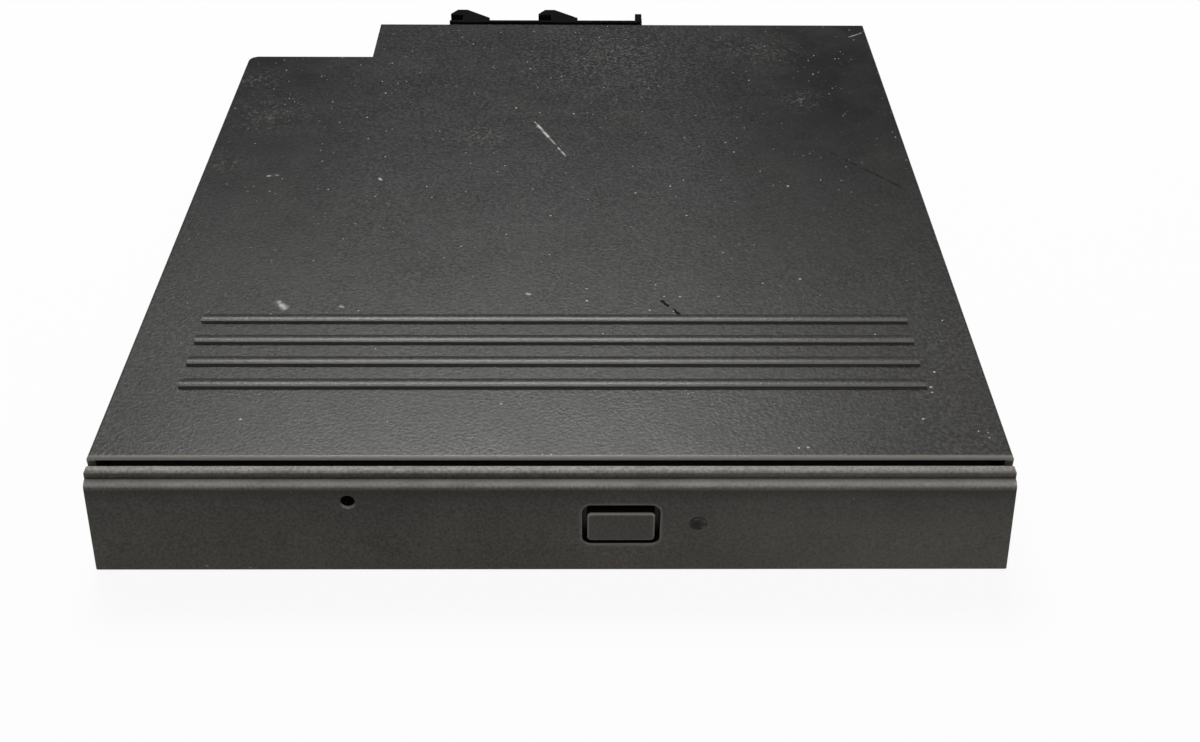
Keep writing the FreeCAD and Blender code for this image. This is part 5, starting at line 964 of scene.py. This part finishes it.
# A scratch: a straight thin mark between two points, broken along its length.
tree, given, out = start_group("drawn_scratch", {"From": (0.0, 0.0, 0.0), "To": (0.0, 0.0, 0.0),
                                                 "Width": 0.2 * MM}, ["Mask"])
here = vector_step(tree, "MULTIPLY", object_place(tree), (1, 1, 0))
start = vector_step(tree, "SUBTRACT", here, given["From"])
span = vector_step(tree, "SUBTRACT", given["To"], given["From"])
along = vector_step(tree, "DOT_PRODUCT", start, span)
whole = vector_step(tree, "DOT_PRODUCT", span, span)
part = add(tree, "Math", along, whole, operation="DIVIDE", use_clamp=True)[0]
foot = vector_step(tree, "SCALE", span, Scale=part)
away = vector_step(tree, "DISTANCE", start, foot)
core = remap(tree, away, given["Width"], 0.0)
torn = remap(tree, noise(tree, 900.0, 3.0), 0.35, 0.6)
feed(out, Mask=times(tree, core, torn))
line_group = tree

# A scuff: a round patch where the skin is rubbed through in crumbs.
tree, given, out = start_group("scuffed_patch", {"Centre": (0.0, 0.0, 0.0), "Radius": 2 * MM,
                                                 "Crumb": 700.0}, ["Mask"])
here = vector_step(tree, "MULTIPLY", object_place(tree), (1, 1, 0))
away = vector_step(tree, "DISTANCE", here, given["Centre"])
fade = remap(tree, away, given["Radius"], 0.0)
bare = remap(tree, noise(tree, given["Crumb"], 6.0, rough=0.75), 0.52, 0.72)
feed(out, Mask=times(tree, fade, bare))
scuff_group = tree

# The skin itself, and what lies on it.
COVER_COLOUR = (0.009, 0.009, 0.0092)
MOTTLE_COLOUR = (0.315, 0.318, 0.312, 1)
cover_finish, tree, shader, tone = moulded_skin("cover_plastic", COVER_COLOUR, 0.315, shine=0.24,
                                                grain=1800.0, depth=0.07, cloud=60.0, contrast=0.6,
                                                speckle=0.8, dust=0.07, rub=3.0, crevice_shade=True)
axes = axes_of(tree, object_place(tree))
depth_y = axes["Y"]
facing = axes_of(tree, flat_normal(tree))["Y"]

# The ribs' crests are painted pale on the side towards the viewer, a painted highlight; their rear flanks
# stay matt and dark.
RIB_FOOT, RIB_HIGHLIGHT_LOW, RIB_HIGHLIGHT_HIGH = 18.31 * MM, 18.62 * MM, 18.74 * MM
toward = remap(tree, facing, 0.0, -0.4)
crest_highlight = remap(tree, axes["Z"], RIB_HIGHLIGHT_LOW, RIB_HIGHLIGHT_HIGH, 0.0, 0.34)
tone = tint_over(tree, times(tree, crest_highlight, toward), tone, FILM_AND_HIGHLIGHT_COLOUR)
rear_flank = combine(tree, "GREATER_THAN", facing, 0.13)
shaded = times(tree, rear_flank, combine(tree, "GREATER_THAN", axes["Z"], RIB_FOOT))
# Faces that look towards the front, such as the ribs' steps, are painted a little paler: painted light.
tone = tint_over(tree, remap(tree, facing, -0.7, -0.9, 0.0, 0.12), tone, FILM_AND_HIGHLIGHT_COLOUR)

# The plate is painted paler towards its front, a painted reflection of the rear lamp, and its rounded nose
# gets a painted highlight down to the gap over the bezel.
REFLECTION_FROM, REFLECTION_TO = 50 * MM, -60 * MM
NOSE_START, NOSE_END = -73.0 * MM, -73.4 * MM
GAP_TOP, NOSE_FOOT = 17.6 * MM, 17.9 * MM
paler_ramp = remap(tree, depth_y, REFLECTION_FROM, REFLECTION_TO, 0.0, 0.075, how="SMOOTHSTEP")
tone = tint_over(tree, paler_ramp, tone, FILM_AND_HIGHLIGHT_COLOUR)
nose_highlight = remap(tree, depth_y, NOSE_START, NOSE_END, 0.0, 0.65)
above_gap = remap(tree, axes["Z"], GAP_TOP, NOSE_FOOT)
tone = tint_over(tree, times(tree, nose_highlight, above_gap), tone, FILM_AND_HIGHLIGHT_COLOUR)

# A fine pale mottling lies on the plate, kept around the middle and the front and faded out towards the rear
# sides as a painted falloff of the lamp's reflection, and smears and crumbs of dust lie thicker towards the
# rear.
SHEEN_MIDDLE, SHEEN_FADE_START, SHEEN_FADE_END = -4 * MM, 24 * MM, 58 * MM
SHEEN_FRONT_START, SHEEN_FRONT_END = 30 * MM, -45 * MM
DUST_FRONT, DUST_REAR = -50 * MM, 50 * MM
crumbs = place_group(tree, dust_group, Cells=1200.0, Share=0.55, Size=0.22)["Mask"]
rearward = remap(tree, depth_y, DUST_FRONT, DUST_REAR, 0.15, 1.0)
lying = times(tree, place_group(tree, film_group)["Mask"], rearward)
mottle = remap(tree, noise(tree, 1600.0, 4.0, rough=0.75), 0.42, 0.70, 0.0, 0.22)
upward_only = place_group(tree, film_group, Lowest=0.9, Highest=0.99)["Mask"]
sideways = combine(tree, "ABSOLUTE", combine(tree, "SUBTRACT", axes["X"], SHEEN_MIDDLE))
sideways_sheen = remap(tree, sideways, SHEEN_FADE_START, SHEEN_FADE_END, 1.0, 0.0, how="SMOOTHSTEP")
sheen_reach = combine(tree, "MAXIMUM", sideways_sheen, remap(tree, depth_y, SHEEN_FRONT_START, SHEEN_FRONT_END))
upward_only = times(tree, upward_only, sheen_reach)
tone = tint_over(tree, times(tree, mottle, upward_only), tone, MOTTLE_COLOUR)
haze = remap(tree, noise(tree, 55.0, 7.0, rough=0.7), 0.48, 0.75, 0.0, 0.09)
tone = tint_over(tree, times(tree, haze, lying), tone, FILM_AND_HIGHLIGHT_COLOUR)
tone = tint_over(tree, times(tree, crumbs, lying), tone, DUST_AND_HIGHLIGHT_COLOUR)

# Pale scratches are cut through the skin, and dark ones are rubbed matt: (begin, end, width, colour).
PALE, DARK = (0.60, 0.58, 0.54, 1), (0.004, 0.004, 0.004, 1)
SCRATCHES = (((-5.0, 25.2), (1.1, 11.9), 0.26, PALE), ((-4.4, 23.9), (-2.2, 19.1), 0.42, PALE),
             ((61.1, 63.8), (64.0, 65.8), 0.2, PALE), ((-44.4, -35.8), (-43.2, -37.2), 0.8, PALE),
             ((-52.8, 4.4), (-51.2, 4.7), 0.45, PALE), ((-34.3, -36.8), (-33.9, -37.0), 0.36, PALE),
             ((-4.7, -33.2), (-4.3, -33.4), 0.36, PALE), ((-32.6, 3.6), (-32.2, 3.0), 0.36, PALE),
             ((17.0, -35.3), (19.6, -38.9), 0.4, DARK), ((50.4, 13.6), (61.6, 0.9), 0.17, DARK))


def on_plate(x, y):
    return Vector((x, y, 0)) * MM


satin = combine(tree, "MAXIMUM", shader.inputs["Roughness"].links[0].from_socket, shaded)
for begin, end, width, colour in SCRATCHES:
    mark = place_group(tree, line_group, From=on_plate(*begin), To=on_plate(*end), Width=width * MM)["Mask"]
    if colour == DARK:
        mark = combine(tree, "GREATER_THAN", mark, 0.2)
        satin = combine(tree, "MAXIMUM", satin, mark)
    tone = tint_over(tree, mark, tone, colour)

# Each scuff is (x, y, radius, crumbs per metre).
SCUFF_COLOUR = (0.20, 0.195, 0.18, 1)
SCUFFS = ((-60.3, 9.5, 6.0, 1500.0), (-61.1, 42.9, 7.0, 1300.0), (-15.3, 20.0, 6.0, 1600.0),
          (47.3, 34.6, 7.0, 1500.0), (-43.7, -36.5, 1.6, 900.0), (-56.0, 28.0, 12.0, 1400.0),
          (10.0, 55.0, 22.0, 1600.0), (40.0, 58.0, 14.0, 1500.0))
for x, y, radius, crumb in SCUFFS:
    mark = place_group(tree, scuff_group, Centre=on_plate(x, y), Radius=radius * MM, Crumb=crumb)["Mask"]
    tone = tint_over(tree, mark, tone, SCUFF_COLOUR)
feed(shader, Base_Color=tone, Roughness=satin)
dress("top_cover", cover_finish)
